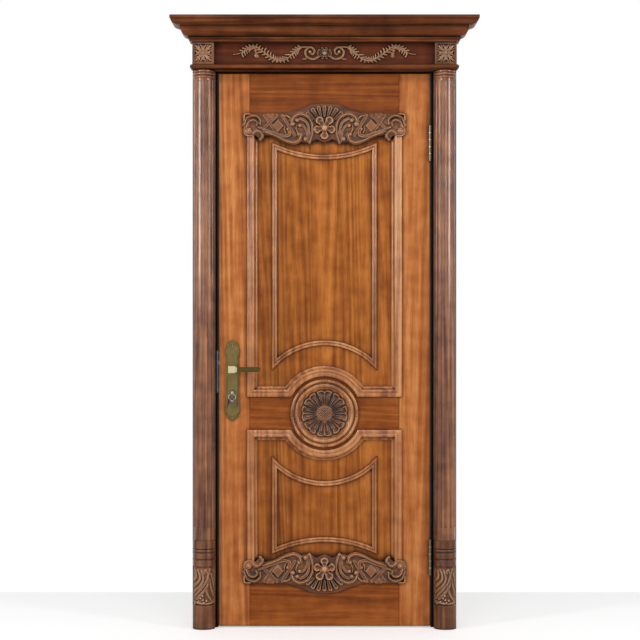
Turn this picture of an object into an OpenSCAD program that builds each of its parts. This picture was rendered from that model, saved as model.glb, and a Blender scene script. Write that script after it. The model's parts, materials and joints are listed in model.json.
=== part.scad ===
// A carved wooden door in its frame. The leaf hangs on two butt hinges at the right and
// opens toward the front. Millimetres; X to the right, Y into the wall, Z up.
// The front face of the leaf is at Y = 0. The origin is on the floor, in the middle of the box.

/* [Leaf] */
// Width of the door leaf
leaf_w = 800; // [770:5:900]
// Height of the door leaf
leaf_h = 2100; // [2050:5:2250]
// Thickness of stiles and rails
leaf_t = 45; // [43:1:50]
// Gap between the leaf and the floor
floor_gap = 5; // [3:0.5:10]
// Gap between the leaf edge and the jamb
side_gap = 3.5; // [3:0.1:4.5]
// Width of each stile
stile_w = 115; // [108:1:125]
// Height of the top rail
top_rail_h = 217; // [200:1:235]
// Height of the lock rail
lock_rail_h = 144; // [134:1:156]
// Height of the bottom rail
bottom_rail_h = 229; // [210:1:245]
// Height of the medallion above the floor
medallion_z = 814; // [795:1:835]
// Radius of the round boss of the lock rail
boss_r = 150; // [142:1:156]
// Width and depth of the joint line between stile and rail
joint_line = 2; // [1:0.5:3]
// Depth of the panel face behind the stile face
panel_recess = 10; // [8:0.5:12]

/* [Mouldings] */
// Width of the bolection moulding
mould_w = 40; // [36:1:42]
// Part of that width that lies on the stile
mould_lap = 10; // [8:0.5:13]
// Height of the moulding over the stile face
mould_h = 12; // [9:0.5:13]
// Open line between mitred lengths of moulding
mitre_gap = 0.1; // [0.05:0.05:0.3]
// Width of the bead around each field
bead_w = 20; // [16:1:24]
// Height of that bead over the panel
bead_h = 9; // [7:0.5:11]
// Distance from the opening edge to the middle of the bead
bead_margin = 95; // [88:1:102]
// Rise of the bead arc beside the medallion
near_rise = 79; // [70:1:86]
// Rise of the bead arc beside the carving
far_rise = 41; // [34:1:48]

/* [Carvings] */
// Thickness of the ground behind the carved scrolls
ground_h = 9; // [7:0.5:11]
// Height of the scrolls over that ground
scroll_h = 9; // [7:0.5:11]
// Outer radius of the medallion ring
ring_r = 130; // [124:1:134]
// Height of the medallion ring
ring_h = 10; // [8:0.5:12]
// Tip radius of the rosette petals
petal_r = 90; // [84:1:94]

/* [Frame] */
// Thickness of a jamb beside the leaf
jamb_t = 40; // [34:1:50]
// Depth of the jamb, front to back
jamb_d = 144; // [120:1:180]
// Depth of the stop beside the leaf
stop_p = 12; // [10:1:15]
// Width of each casing board
casing_w = 85; // [82:1:92]
// Thickness of each casing board
casing_t = 20; // [16:1:24]
// Visible reveal between jamb face and casing
reveal = 11.5; // [9:0.5:14]
// Radius of the fluted column shaft
shaft_r = 39.5; // [36:0.5:40]
// Height of the carved column base
base_h = 335; // [300:1:370]
// Height of the capital rings
capital_h = 35; // [30:1:42]
// Height of the frieze
frieze_h = 85; // [78:1:92]
// Thickness of the astragal shelf
astragal_t = 16; // [14:1:20]
// Height of the cornice
cornice_h = 90; // [80:1:100]
// Projection of the cornice
cornice_p = 80; // [70:1:88]

/* [Hardware] */
// Distance from the leaf top down to the upper hinge middle
hinge_drop = 264; // [245:1:345]
// Height of the lower hinge middle
hinge_bottom_z = 267; // [240:1:340]
// Length of a hinge
hinge_h = 130; // [115:5:140]
// Radius of the hinge knuckles
knuckle_r = 6.5; // [6:0.1:6.8]
// Backset of the lever and the lock cylinder
backset = 50; // [45:1:55]
// Height of the lever axis
lever_z = 982; // [970:1:1010]
// Distance from the lever down to the cylinder
cylinder_drop = 90; // [85:1:92]
// Reach of the lever from its axis
lever_l = 108; // [95:1:125]
// Height of the handle plates
plate_h = 307; // [290:1:315]
// Width of the handle plates
plate_w = 52; // [48:1:54]
// Radial clearance of turning pieces
run_clear = 0.05; // [0.03:0.01:0.08]
// Clearance of sliding pieces
slide_clear = 0.3; // [0.2:0.05:0.5]

/* [Hidden] */
$fn = 48;
wood_dark = [0.37, 0.2, 0.12];
wood_mid = [0.6, 0.36, 0.18];
wood_light = [0.71, 0.45, 0.25];
metal_brass = [0.55, 0.47, 0.3];
metal_steel = [0.7, 0.72, 0.75];
leaf_half = leaf_w / 2;
leaf_z = floor_gap;
leaf_top = leaf_z + leaf_h;
hinge_top_z = leaf_top - hinge_drop;
open_half = leaf_half - stile_w;
upper_end = leaf_top - top_rail_h - medallion_z;
lower_end = medallion_z - leaf_z - bottom_rail_h;
rail_half = lock_rail_h / 2;
panel_t = leaf_t - 2 * panel_recess;
bead_half = open_half - bead_margin;
carve_rise = 11;
carve_scale = open_half / 285;
jamb_in = leaf_half + side_gap;
jamb_out = jamb_in + jamb_t;
head_z = leaf_top + side_gap;
head_top = head_z + jamb_t;
stop_y = leaf_t + 3;
casing_in = jamb_in + reveal;
casing_out = casing_in + casing_w;
column_x = (casing_in + casing_out) / 2;
base_r = casing_w / 2;
base_y = -casing_t;
astragal_z = head_z + 8.5;
frieze_z = astragal_z + astragal_t;
cornice_z = frieze_z + frieze_h;
block_y = base_y - base_r - 1.5;
frieze_y = -36;
hinge_x = leaf_half + side_gap / 2;
hinge_y = -knuckle_r - 0.5;
hinge_plate_t = 2.4;
hinge_plate_w = 27;
pin_r = 3.2;
washer_t = 2.5;
knuckle_l = (hinge_h - 4 * washer_t) / 5;
screw_r = 2.2;
lever_x = -leaf_half + backset;
cylinder_z = lever_z - cylinder_drop;
plate_z = lever_z - 43.5;
latch_z = lever_z + 23;
bolt_z = cylinder_z + 33;
lock_y = leaf_t / 2;
forend_t = 3;
forend_w = 22;
forend_z = lever_z - 137;
forend_h = 220;
case_t = 15;
case_wall = 1.5;
case_d = backset + 22;
case_z = forend_z + 10;
case_h = 200;
plate_t = 4;
latch_throw = 12;
bolt_throw = 20;
bolt_t = 11.4;
big = 3000;

// A box from its lowest to its highest corner
module box(a, b) {
    translate(a)
        cube(b - a);
}

// A prism whose outline lies in the XZ plane, from depth y0 to depth y1
module xz_prism(points, y0, y1) {
    translate([0, y1, 0])
        rotate([90, 0, 0])
            linear_extrude(y1 - y0)
                polygon(points);
}

// A round bar along Y
module y_rod(x, z, r, y0, y1) {
    translate([x, y1, z])
        rotate([90, 0, 0])
            cylinder(r = r, h = y1 - y0);
}

// A round bar along X
module x_rod(y, z, r, x0, x1) {
    translate([x0, y, z])
        rotate([0, 90, 0])
            cylinder(r = r, h = x1 - x0);
}

// The same pieces on both sides of the middle
module both_sides() {
    children();
    mirror([1, 0, 0])
        children();
}

// Points on an elliptic arc
function arc_points(cx, cy, rx, ry, a0, a1, n) =
    [for (i = [0:n]) [cx + rx * cos(a0 + (a1 - a0) * i / n), cy + ry * sin(a0 + (a1 - a0) * i / n)]];

// One side of a list mirrored to the other side, to close an outline
function mirrored(points) =
    concat(points, [for (i = [len(points) - 1:-1:0]) if (points[i][0] > 0) [-points[i][0], points[i][1]]]);

// A smooth curve through a few points, n steps between neighbours
function curve_point(a, b, c, d, t) =
    0.5 * (2 * b + (c - a) * t + (2 * a - 5 * b + 4 * c - d) * t * t + (3 * b - a - 3 * c + d) * t * t * t);
function curve(p, n) =
    concat([for (i = [0:len(p) - 2]) for (j = [0:n - 1])
        curve_point(p[max(i - 1, 0)], p[i], p[i + 1], p[min(i + 2, len(p) - 1)], j / n)],
        [p[len(p) - 1]]);
function unit(v) = v / norm(v);

// Sections of a carved rib, as shares of width and height: a round back, or a sharp one
round_section = [[-0.5, 0], [-0.22, 1], [0.22, 1], [0.5, 0]];
sharp_section = [[-0.5, 0], [0, 1], [0.5, 0]];

// A point of a carving, on a flat ground or on a round one of radius r
function carved(x, z, h, r) =
    r == 0 ? [x, -h, z] : [(r + h) * sin(x / r * 57.2958), -(r + h) * cos(x / r * 57.2958), z];

// A carved rib along a curve: width from w0 to w1, height h over the ground, sunk into it
module rib(p, w0, w1, h, n = 2, sink = 0, r = 0, section = round_section) {
    q = curve(p, n);
    m = len(q);
    k = len(section);
    points = [for (i = [0:m - 1])
        let (a = q[max(i - 1, 0)], b = q[min(i + 1, m - 1)], t = unit(b - a))
        let (s = i / (m - 1), w = w0 + (w1 - w0) * s, v = (h + sink) * (0.75 + 0.25 * sin(180 * s)))
        for (c = section)
            carved(q[i][0] - t[1] * w * c[0], q[i][1] + t[0] * w * c[0], v * c[1] - sink, r)];
    sides = [for (i = [0:m - 2]) for (j = [0:k - 1])
        [i * k + j, i * k + (j + 1) % k, i * k + k + (j + 1) % k, i * k + k + j]];
    ends = [[for (j = [k - 1:-1:0]) j], [for (j = [0:k - 1]) (m - 1) * k + j]];
    polyhedron(points = points, faces = concat(sides, ends), convexity = 6);
}

// A thin rib with a sharp back
module vein(p, w0, w1, h, n = 2, sink = 0, r = 0) {
    rib(p, w0, w1, h, n, sink, r, sharp_section);
}

// A carved leaf or petal: a low dome from one end to the other, with its own widths
module leaf_dome(p0, p1, r0, r1, h, sink = 0) {
    hull() {
        for (e = [[p0, r0], [p1, r1]]) {
            translate([e[0][0], sink, e[0][1]])
                rotate([90, 0, 0]) {
                    cylinder(r = e[1], h = sink + h * 0.35, $fn = 6);
                    cylinder(r = e[1] * 0.55, h = sink + h, $fn = 4);
                }
        }
    }
}

// A carved ball
module knob(p, r, h, sink = 0) {
    translate([p[0], sink, p[1]])
        rotate([90, 0, 0])
            hull() {
                cylinder(r = r, h = sink + h * 0.4, $fn = 8);
                cylinder(r = r * 0.6, h = sink + h, $fn = 8);
            }
}

// Frame

// One jamb with its rebate for the leaf and for the seal, on the right side
module jamb_board() {
    linear_extrude(head_z)
        polygon([[jamb_in + 2.5, 6], [casing_in - 0.5, 6], [casing_in - 0.5, 0], [jamb_out, 0],
            [jamb_out, jamb_d], [jamb_in - stop_p, jamb_d], [jamb_in - stop_p, stop_y],
            [jamb_in, stop_y], [jamb_in, 6]]);
}

fix_y0 = stop_y + 24;
fix_dy = 52;
fix_z0 = 240;
fix_dz = leaf_h - 500;
fix_r = 4.5;
module jamb_fixing_holes() {
    for (y = [fix_y0, fix_y0 + fix_dy], z = [fix_z0, fix_z0 + fix_dz])
        x_rod(y, z, fix_r, jamb_in - stop_p - 1, jamb_out + 1);
}

module hinge_mortise(z, x0, x1) {
    box([x0, -1, z - hinge_h / 2 - 0.1], [x1, hinge_plate_w + 0.1, z + hinge_h / 2 + 0.1]);
}

screw_rows = [-0.38, -0.13, 0.13, 0.38];
module hinge_screw_bores(z, x, way, r, l) {
    for (s = screw_rows)
        translate([x, hinge_plate_w * (abs(s) > 0.3 ? 0.45 : 0.75), z + s * hinge_h])
            rotate([0, 90 * way, 0])
                cylinder(r = r, h = l);
}

module lock_jamb() {
    color(wood_dark)
        difference() {
            mirror([1, 0, 0])
                jamb_board();
            mirror([1, 0, 0])
                jamb_fixing_holes();
            box([-jamb_in - 2, 5, strike_z], [-jamb_in + 1, strike_y1, strike_z + strike_h]);
            box([-jamb_in - 16, lock_y - 8, latch_z - 11], [-jamb_in, lock_y + 8, latch_z + 11]);
            box([-jamb_in - 24, lock_y - 8, bolt_z - 16], [-jamb_in, lock_y + 8, bolt_z + 16]);
            strike_screw_bores(screw_r, 20);
        }
}

module hinge_jamb() {
    color(wood_dark)
        difference() {
            jamb_board();
            jamb_fixing_holes();
            for (z = [hinge_top_z, hinge_bottom_z]) {
                hinge_mortise(z, jamb_in - 1, hinge_x + 0.35 + hinge_plate_t);
                hinge_screw_bores(z, hinge_x, 1, screw_r, 22);
            }
        }
}

module head_jamb() {
    color(wood_dark)
        rotate([90, 0, 90])
            translate([0, 0, -jamb_out])
                linear_extrude(2 * jamb_out)
                    polygon([[6, head_z + 2.5], [6, head_z + 8], [0, head_z + 8], [0, head_top],
                        [jamb_d, head_top], [jamb_d, head_z], [6, head_z]]);
    color(wood_dark)
        box([stop_p - jamb_in, stop_y, head_z - stop_p], [jamb_in - stop_p, jamb_d, head_z]);
}

module frame_seal() {
    color([0.06, 0.05, 0.05]) {
        both_sides()
            box([jamb_in + 2.5, 1, 0], [casing_in - 0.5, 6, head_z]);
        box([2.5 - jamb_out, 1, head_z], [jamb_out - 2.5, 6, head_z + 8]);
    }
}

module casing() {
    box([casing_in, -casing_t, 0], [casing_out, 0, astragal_z]);
}

module left_casing() {
    color(wood_dark)
        mirror([1, 0, 0])
            casing();
}

module right_casing() {
    color(wood_dark)
        casing();
}

// Half-round shaft with five flutes, and three rings as its capital
flute_z0 = base_h + 51;
flute_z1 = astragal_z - capital_h - 7;
module column() {
    ring_z = astragal_z - capital_h;
    ring = capital_h / 3;
    translate([column_x, base_y, 0]) {
        difference() {
            rotate([0, 0, 180])
                translate([0, 0, base_h])
                    rotate_extrude(angle = 180)
                        square([shaft_r, ring_z - base_h]);
            for (a = [-60, -30, 0, 30, 60])
                rotate([0, 0, a])
                    translate([0, -shaft_r - 2.6, flute_z0])
                        cylinder(r = 6, h = flute_z1 - flute_z0, $fn = 24);
        }
        translate([0, 0, ring_z])
            rotate([0, 0, 180])
                rotate_extrude(angle = 180)
                    polygon(concat([[0, 0]],
                        arc_points(shaft_r - 2, ring * 0.5, 4.5, ring * 0.5, -90, 90, 8),
                        arc_points(shaft_r - 2, ring * 1.5, 4, ring * 0.46, -80, 80, 8),
                        arc_points(shaft_r - 2.5, ring * 2.5, 2.5, ring * 0.46, -80, 80, 8),
                        [[shaft_r - 2.5, 3 * ring], [0, 3 * ring]]));
    }
}

module left_column() {
    color(wood_dark)
        mirror([1, 0, 0])
            column();
}

module right_column() {
    color(wood_dark)
        column();
}

// Turned and carved base: rings above, a standing leaf in the middle, a plain foot
module column_base() {
    k = base_h / 335;
    translate([column_x, base_y, 0]) {
        rotate([0, 0, 180])
            rotate_extrude(angle = 180, $fn = 24)
                polygon(concat([[0, 0], [base_r, 0], [base_r, 92 * k], [base_r - 5, 96 * k],
                    [base_r - 5, 232 * k], [base_r - 0.5, 237 * k], [base_r - 0.5, 262 * k],
                    [base_r - 3.5, 264 * k], [base_r - 0.5, 267 * k], [base_r - 0.5, 288 * k],
                    [base_r - 4, 291 * k]],
                    arc_points(base_r - 3, 296.5 * k, 2.6, 4.5 * k, -60, 60, 2),
                    [[base_r - 4, 302 * k], [base_r - 0.5, 304 * k], [base_r - 0.5, base_h],
                    [0, base_h]]));
        r = base_r - 5;
        rib([[0, 94 * k], [0, 160 * k], [0, 228 * k]], 13, 6, 4.2, 2, 1, r);
        for (s = [-1, 1]) {
            vein([[s * 4, 100 * k], [s * 17, 118 * k], [s * 33, 112 * k], [s * 38, 99 * k]],
                9, 4, 4, 2, 1, r);
            vein([[s * 4, 118 * k], [s * 17, 142 * k], [s * 33, 140 * k], [s * 40, 124 * k]],
                10, 4, 4, 2, 1, r);
            vein([[s * 4, 144 * k], [s * 16, 170 * k], [s * 30, 172 * k], [s * 38, 155 * k]],
                10, 4, 4, 2, 1, r);
            vein([[s * 4, 172 * k], [s * 13, 197 * k], [s * 26, 201 * k], [s * 34, 186 * k]],
                9, 4, 4, 2, 1, r);
        }
        for (a = [-52, 0, 52], z = [84, 236])
            rotate([0, 0, a])
                translate([0, -base_r + 2, z * k])
                    hull() {
                        cube([9, 2, 4], center = true);
                        cube([4, 5, 2], center = true);
                    }
        for (a = [-26, 26])
            rotate([0, 0, a])
                translate([0, -base_r + 2, 236 * k])
                    hull() {
                        cube([9, 2, 4], center = true);
                        cube([4, 5, 2], center = true);
                    }
    }
}

module left_column_base() {
    color(wood_dark)
        mirror([1, 0, 0])
            column_base();
}

module right_column_base() {
    color(wood_dark)
        column_base();
}

module head_fillet() {
    color(wood_dark)
        box([-casing_in, frieze_y, head_z + 4], [casing_in, 0, astragal_z]);
}

// Shelf between columns and frieze, with a round nose on the front and both ends
module astragal() {
    r = astragal_t / 2;
    half = casing_out;
    y1 = block_y;
    zc = astragal_z + r;
    color(wood_dark) {
        box([-half, y1, astragal_z], [half, 0, astragal_z + astragal_t]);
        x_rod(y1, zc, r, -half, half);
        both_sides() {
            y_rod(half, zc, r, y1, 0);
            translate([half, y1, zc])
                sphere(r = r);
        }
    }
}

// Square block with four carved leaves on its diagonals
module corner_block() {
    w = casing_w - 3;
    h = frieze_h;
    translate([column_x, 0, frieze_z + h / 2]) {
        box([-w / 2, block_y + 6, -h / 2], [w / 2, 0, h / 2]);
        difference() {
            box([-w / 2, block_y, -h / 2], [w / 2, block_y + 6, h / 2]);
            translate([0, block_y, 0])
                rotate([90, 45, 0])
                    cylinder(r1 = 48, r2 = 52, h = 6, center = true, $fn = 4);
        }
        translate([0, block_y + 3, 0]) {
            for (a = [45, 135, 225, 315])
                rotate([0, a, 0]) {
                    leaf_dome([0, 12], [0, 34], 7, 5, 7);
                    vein([[4, 10], [11, 20], [12, 31]], 8, 4, 5, 1);
                    vein([[-4, 10], [-11, 20], [-12, 31]], 8, 4, 5, 1);
                }
            for (a = [0, 90, 180, 270])
                rotate([0, a, 0])
                    leaf_dome([0, 8], [0, 25], 4, 2.5, 5);
            knob([0, 0], 8, 8);
        }
    }
}

module left_corner_block() {
    color(wood_dark)
        mirror([1, 0, 0])
            corner_block();
}

module right_corner_block() {
    color(wood_dark)
        corner_block();
}

block_in = column_x - casing_w / 2 + 1.5;
module frieze_board() {
    color([0.4, 0.18, 0.1])
        box([-block_in, frieze_y, frieze_z], [block_in, 0, cornice_z]);
}

// Flower, volutes and leaf garland along the frieze
module frieze_carving() {
    k = block_in / 416.5;
    color([0.55, 0.36, 0.22])
        translate([0, frieze_y, frieze_z + frieze_h * 0.53])
            scale([k, 1, 1]) {
                leaf_dome([-14, 0], [14, 0], 15, 15, 7, 0);
                knob([0, 0], 12, 12, 0);
                for (a = [30:60:330])
                    leaf_dome([13 * cos(a), 9 * sin(a)], [23 * cos(a), 19 * sin(a)], 5, 4, 9, 0);
                both_sides() {
                    rib([[16, -8], [40, -22], [66, -14], [72, 8], [54, 23], [38, 10], [46, -4], [57, 4]],
                        9, 8, 10, 2, 0);
                    knob([55, 6], 7, 11, 0);
                    vein([[56, 22], [88, 22], [112, 8], [140, -20], [171, -29], [205, -16], [236, 8],
                        [262, 25], [292, 18], [318, 0], [344, -5]], 13, 4, 8, 2, 0);
                    for (e = [[[98, 12], [92, -14]], [[118, 2], [122, -22]], [[138, -16], [156, 2]],
                        [[168, -26], [188, -4]], [[202, -16], [220, 6]], [[232, 6], [246, 27]],
                        [[300, 10], [308, -12]]])
                        leaf_dome(e[0], e[1], 7, 4, 8, 0);
                    leaf_dome([262, 18], [257, -10], 4, 8, 9, 0);
                }
            }
}

// Cornice section: distance out from the backing and height
function cornice_section() =
    let (p = cornice_p, h = cornice_h)
    concat([[0, 0], [0.12 * p, 0], [0.12 * p, 0.1 * h]],
        arc_points(0.15 * p, 0.15 * h, 0.055 * p, 0.05 * h, -90, 90, 6),
        [[0.15 * p, 0.215 * h]],
        arc_points(0.2 * p, 0.585 * h, 0.35 * p, 0.37 * h, -90, 0, 8),
        [[0.55 * p, 0.615 * h], [0.68 * p, 0.615 * h]],
        arc_points(0.68 * p, 0.85 * h, 0.27 * p, 0.21 * h, -90, 0, 8),
        [[0.95 * p, 0.87 * h], [p, 0.87 * h], [p, h], [0, h]]);

cornice_half = column_x + casing_w / 2 - 1.5;
module cornice_front() {
    color(wood_dark)
        intersection() {
            translate([-big / 2, block_y, cornice_z])
                rotate([90, 0, 90])
                    linear_extrude(big)
                        polygon([for (q = cornice_section()) [-q[0], q[1]]]);
            translate([0, 0, cornice_z - 1])
                linear_extrude(cornice_h + 2)
                    polygon([[-cornice_half, block_y], [cornice_half, block_y],
                        [cornice_half + 1.5 * cornice_p, block_y - 1.5 * cornice_p],
                        [-cornice_half - 1.5 * cornice_p, block_y - 1.5 * cornice_p]]);
        }
}

module cornice_return() {
    intersection() {
        translate([cornice_half, 0, cornice_z])
            rotate([90, 0, 0])
                linear_extrude(-block_y + 2 * cornice_p)
                    polygon(cornice_section());
        translate([0, 0, cornice_z - 1])
            linear_extrude(cornice_h + 2)
                polygon([[cornice_half, 0], [cornice_half, block_y],
                    [cornice_half + 1.5 * cornice_p, block_y - 1.5 * cornice_p],
                    [cornice_half + 1.5 * cornice_p, 0]]);
    }
}

module cornice_left_return() {
    color(wood_dark)
        mirror([1, 0, 0])
            cornice_return();
}

module cornice_right_return() {
    color(wood_dark)
        cornice_return();
}

module cornice_backing() {
    color(wood_dark)
        box([-cornice_half, block_y, cornice_z], [cornice_half, 0, cornice_z + cornice_h]);
}

strike_h = 159;
strike_z = lever_z - 89;
strike_y1 = lock_y + 12;
module strike_screw_bores(r, l) {
    for (z = [strike_z + 9, strike_z + strike_h - 9])
        x_rod(lock_y, z, r, -jamb_in - l, -jamb_in + 1);
}

// Plate in the lock jamb with a lip that turns onto the front edge
module strike_plate() {
    color(metal_steel)
        difference() {
            union() {
                box([-jamb_in - 2, 0.5, strike_z], [-jamb_in, strike_y1, strike_z + strike_h]);
                box([-jamb_in - 6, -1, strike_z], [-jamb_in, 0.5, strike_z + strike_h]);
            }
            box([-jamb_in - 3, lock_y - 7, latch_z - 10], [-jamb_in + 1, lock_y + 7, latch_z + 10]);
            box([-jamb_in - 3, lock_y - 7, bolt_z - 15], [-jamb_in + 1, lock_y + 7, bolt_z + 15]);
            strike_screw_bores(screw_r, 3);
        }
}

module strike_screws() {
    color(metal_steel)
        for (z = [strike_z + 9, strike_z + strike_h - 9]) {
            x_rod(lock_y, z, screw_r, -jamb_in - 20, -jamb_in);
            x_rod(lock_y, z, 4, -jamb_in, -jamb_in + 1);
        }
}

// Hinges: the frame side holds knuckles 1, 3 and 5, the leaf side 2 and 4
module hinge_knuckles(z, which) {
    for (i = which)
        translate([hinge_x, hinge_y, z - hinge_h / 2 + i * (knuckle_l + washer_t)])
            cylinder(r = knuckle_r, h = knuckle_l);
}

module hinge_half(z, which, x0, x1, way) {
    color(metal_brass)
        difference() {
            union() {
                box([x0, 0.5, z - hinge_h / 2], [x1, hinge_plate_w, z + hinge_h / 2]);
                for (i = which) {
                    z0 = z - hinge_h / 2 + i * (knuckle_l + washer_t);
                    box([x0, hinge_y, z0], [x1, 1, z0 + knuckle_l]);
                }
                hinge_knuckles(z, which);
            }
            translate([hinge_x, hinge_y, z - hinge_h])
                cylinder(r = pin_r + run_clear, h = 2 * hinge_h);
            hinge_screw_bores(z, hinge_x, way, screw_r, 20);
        }
}

module frame_hinge_plate(z) {
    hinge_half(z, [0, 2, 4], hinge_x + 0.35, hinge_x + 0.35 + hinge_plate_t, 1);
}

module leaf_hinge_plate(z) {
    hinge_half(z, [1, 3], hinge_x - 0.35 - hinge_plate_t, hinge_x - 0.35, -1);
}

module top_hinge_frame_plate() {
    frame_hinge_plate(hinge_top_z);
}

module bottom_hinge_frame_plate() {
    frame_hinge_plate(hinge_bottom_z);
}

module top_hinge_leaf_plate() {
    leaf_hinge_plate(hinge_top_z);
}

module bottom_hinge_leaf_plate() {
    leaf_hinge_plate(hinge_bottom_z);
}

module hinge_pins() {
    color(metal_brass)
        for (z = [hinge_top_z, hinge_bottom_z])
            translate([hinge_x, hinge_y, z]) {
                cylinder(r = pin_r, h = hinge_h + 6, center = true);
                for (s = [-1, 1])
                    translate([0, 0, s * (hinge_h / 2 + 1.5)])
                        cylinder(r = knuckle_r - 0.5, h = 3, center = true);
            }
}

module hinge_washers() {
    color(metal_steel)
        for (z = [hinge_top_z, hinge_bottom_z], i = [0:3])
            translate([hinge_x, hinge_y, z - hinge_h / 2 + knuckle_l + i * (knuckle_l + washer_t) + 0.05])
                difference() {
                    cylinder(r = knuckle_r - 0.4, h = washer_t - 0.1);
                    translate([0, 0, -1])
                        cylinder(r = pin_r + run_clear, h = washer_t + 2);
                }
}

module hinge_screws(way) {
    x = hinge_x + way * 0.35;
    color(metal_steel)
        for (z = [hinge_top_z, hinge_bottom_z])
            hinge_screw_bores(z, x, way, screw_r, 20 - 0.35);
}

module hinge_frame_screws() {
    hinge_screws(1);
}

module hinge_leaf_screws() {
    hinge_screws(-1);
}

// Leaf

module stile() {
    box([open_half, 0, leaf_z], [leaf_half, leaf_t, leaf_top]);
}

module lock_stile() {
    color(wood_light)
        difference() {
            mirror([1, 0, 0])
                stile();
            box([-leaf_half - 1, lock_y - forend_w / 2, forend_z],
                [-leaf_half + forend_t, lock_y + forend_w / 2, forend_z + forend_h]);
            box([-leaf_half, lock_y - case_t / 2, case_z],
                [-leaf_half + forend_t + case_d + 0.5, lock_y + case_t / 2, case_z + case_h]);
            y_rod(lever_x, lever_z, 11, -1, leaf_t + 1);
            cylinder_outline(-1, leaf_t + 1, slide_clear);
            plate_screw_bores(screw_r);
        }
}

module hinge_stile() {
    color(wood_light)
        difference() {
            stile();
            for (z = [hinge_top_z, hinge_bottom_z]) {
                hinge_mortise(z, hinge_x - 0.35 - hinge_plate_t, leaf_half + 1);
                hinge_screw_bores(z, hinge_x, -1, screw_r, 22);
            }
        }
}

// Rail between the stiles, with an open joint line at each end of its front
module rail(z0, z1) {
    difference() {
        box([-open_half, 0, z0], [open_half, leaf_t, z1]);
        both_sides()
            box([open_half - joint_line, -1, z0 - 1], [open_half + 1, joint_line, z1 + 1]);
    }
}

module top_rail() {
    color(wood_mid)
        rail(leaf_top - top_rail_h, leaf_top);
}

module bottom_rail() {
    color(wood_mid)
        rail(leaf_z, leaf_z + bottom_rail_h);
}

module lock_rail() {
    color(wood_mid) {
        rail(medallion_z - rail_half, medallion_z + rail_half);
        y_rod(0, medallion_z, boss_r, 0, leaf_t);
    }
}

module panel_board(end) {
    difference() {
        box([-open_half, panel_recess, rail_half], [open_half, panel_recess + panel_t, end]);
        y_rod(0, 0, boss_r, 0, leaf_t);
    }
}

// Upper things stand above the medallion; lower ones are turned over about it
module above_medallion() {
    translate([0, 0, medallion_z])
        children();
}

module below_medallion() {
    translate([0, 0, medallion_z])
        mirror([0, 0, 1])
            children();
}

module upper_panel() {
    color(wood_mid)
        above_medallion()
            panel_board(upper_end);
}

module lower_panel() {
    color(wood_mid)
        below_medallion()
            panel_board(lower_end);
}

// Bolection section: distance from its outer edge and height over the stile face
function mould_section() =
    let (w = mould_w, h = mould_h)
    concat([[0, 0]],
        arc_points(0.22 * w, 0.4 * h, 0.22 * w, 0.42 * h, 180, 45, 7),
        arc_points(0.57 * w, 0.55 * h, 0.15 * w, 0.45 * h, 150, 20, 7),
        arc_points(w, 0.6 * h, 0.28 * w, 0.6 * h + panel_recess - 2, 180, 270, 7),
        [[w, -panel_recess], [mould_lap, -panel_recess], [mould_lap, 0]]);

// Bead section: distance from its outer edge and height over the panel
function bead_section() =
    concat([[0, 0]],
        arc_points(0.27 * bead_w, 0.3 * bead_h, 0.27 * bead_w, 0.6 * bead_h, 180, 40, 7),
        arc_points(0.73 * bead_w, 0.3 * bead_h, 0.27 * bead_w, 0.7 * bead_h, 140, 0, 7),
        [[bead_w, 0]]);

// Straight length along Z whose outer edge is at x
module upright_length(section, x, y, z0, z1) {
    translate([0, 0, z0])
        linear_extrude(z1 - z0)
            polygon([for (q = section) [x - q[0], y - q[1]]]);
}

// Straight length along X whose outer edge is at z
module level_length(section, z, y, half) {
    translate([-half, 0, 0])
        rotate([90, 0, 90])
            linear_extrude(2 * half)
                polygon([for (q = section) [y - q[1], z + q[0]]]);
}

// Arched length about a point on the middle line; way 1 grows outward, -1 inward
module arched_length(section, cz, r, way, y, a0, a1) {
    translate([0, y, cz])
        rotate([90, 0, 0])
            rotate([0, 0, a0])
                rotate_extrude(angle = a1 - a0, $fn = 96)
                    polygon([for (q = section) [r + way * q[0], q[1]]]);
}

// Bolection frame around one panel, drawn with the medallion at the origin
module panel_moulding(end) {
    s = mould_section();
    x0 = open_half + mould_lap;
    x1 = x0 - mould_w;
    z0 = rail_half - mould_lap;
    z1 = z0 + mould_w;
    r0 = boss_r - mould_lap;
    r1 = r0 + mould_w;
    a = [sqrt(r0 * r0 - z0 * z0), z0];
    b = [sqrt(r1 * r1 - z1 * z1), z1];
    far = a + 8 * (b - a);
    y0 = -mould_h - 1;
    y1 = panel_recess + 1;
    both_sides() {
        intersection() {
            upright_length(s, x0, 0, z0, end);
            xz_prism([[x0, z0 + mitre_gap], [x1, z1 + mitre_gap], [x1, end], [x0, end]], y0, y1);
        }
        intersection() {
            level_length(s, z0, 0, x0);
            xz_prism([[x0, z0], [x1, z1], b, a], y0, y1);
        }
    }
    intersection() {
        arched_length(s, 0, r0, 1, 0, 0, 180);
        translate([0, 0, mitre_gap])
            xz_prism([a, far, [-far[0], far[1]], [-a[0], a[1]]], y0, y1);
    }
}

// The frame's front is cut where the carving sits on it
module front_moulding(end) {
    difference() {
        panel_moulding(end);
        carving_seat(end);
    }
}

module upper_moulding() {
    color(wood_mid)
        above_medallion()
            front_moulding(upper_end);
}

module lower_moulding() {
    color(wood_mid)
        below_medallion()
            front_moulding(lower_end);
}

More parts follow.
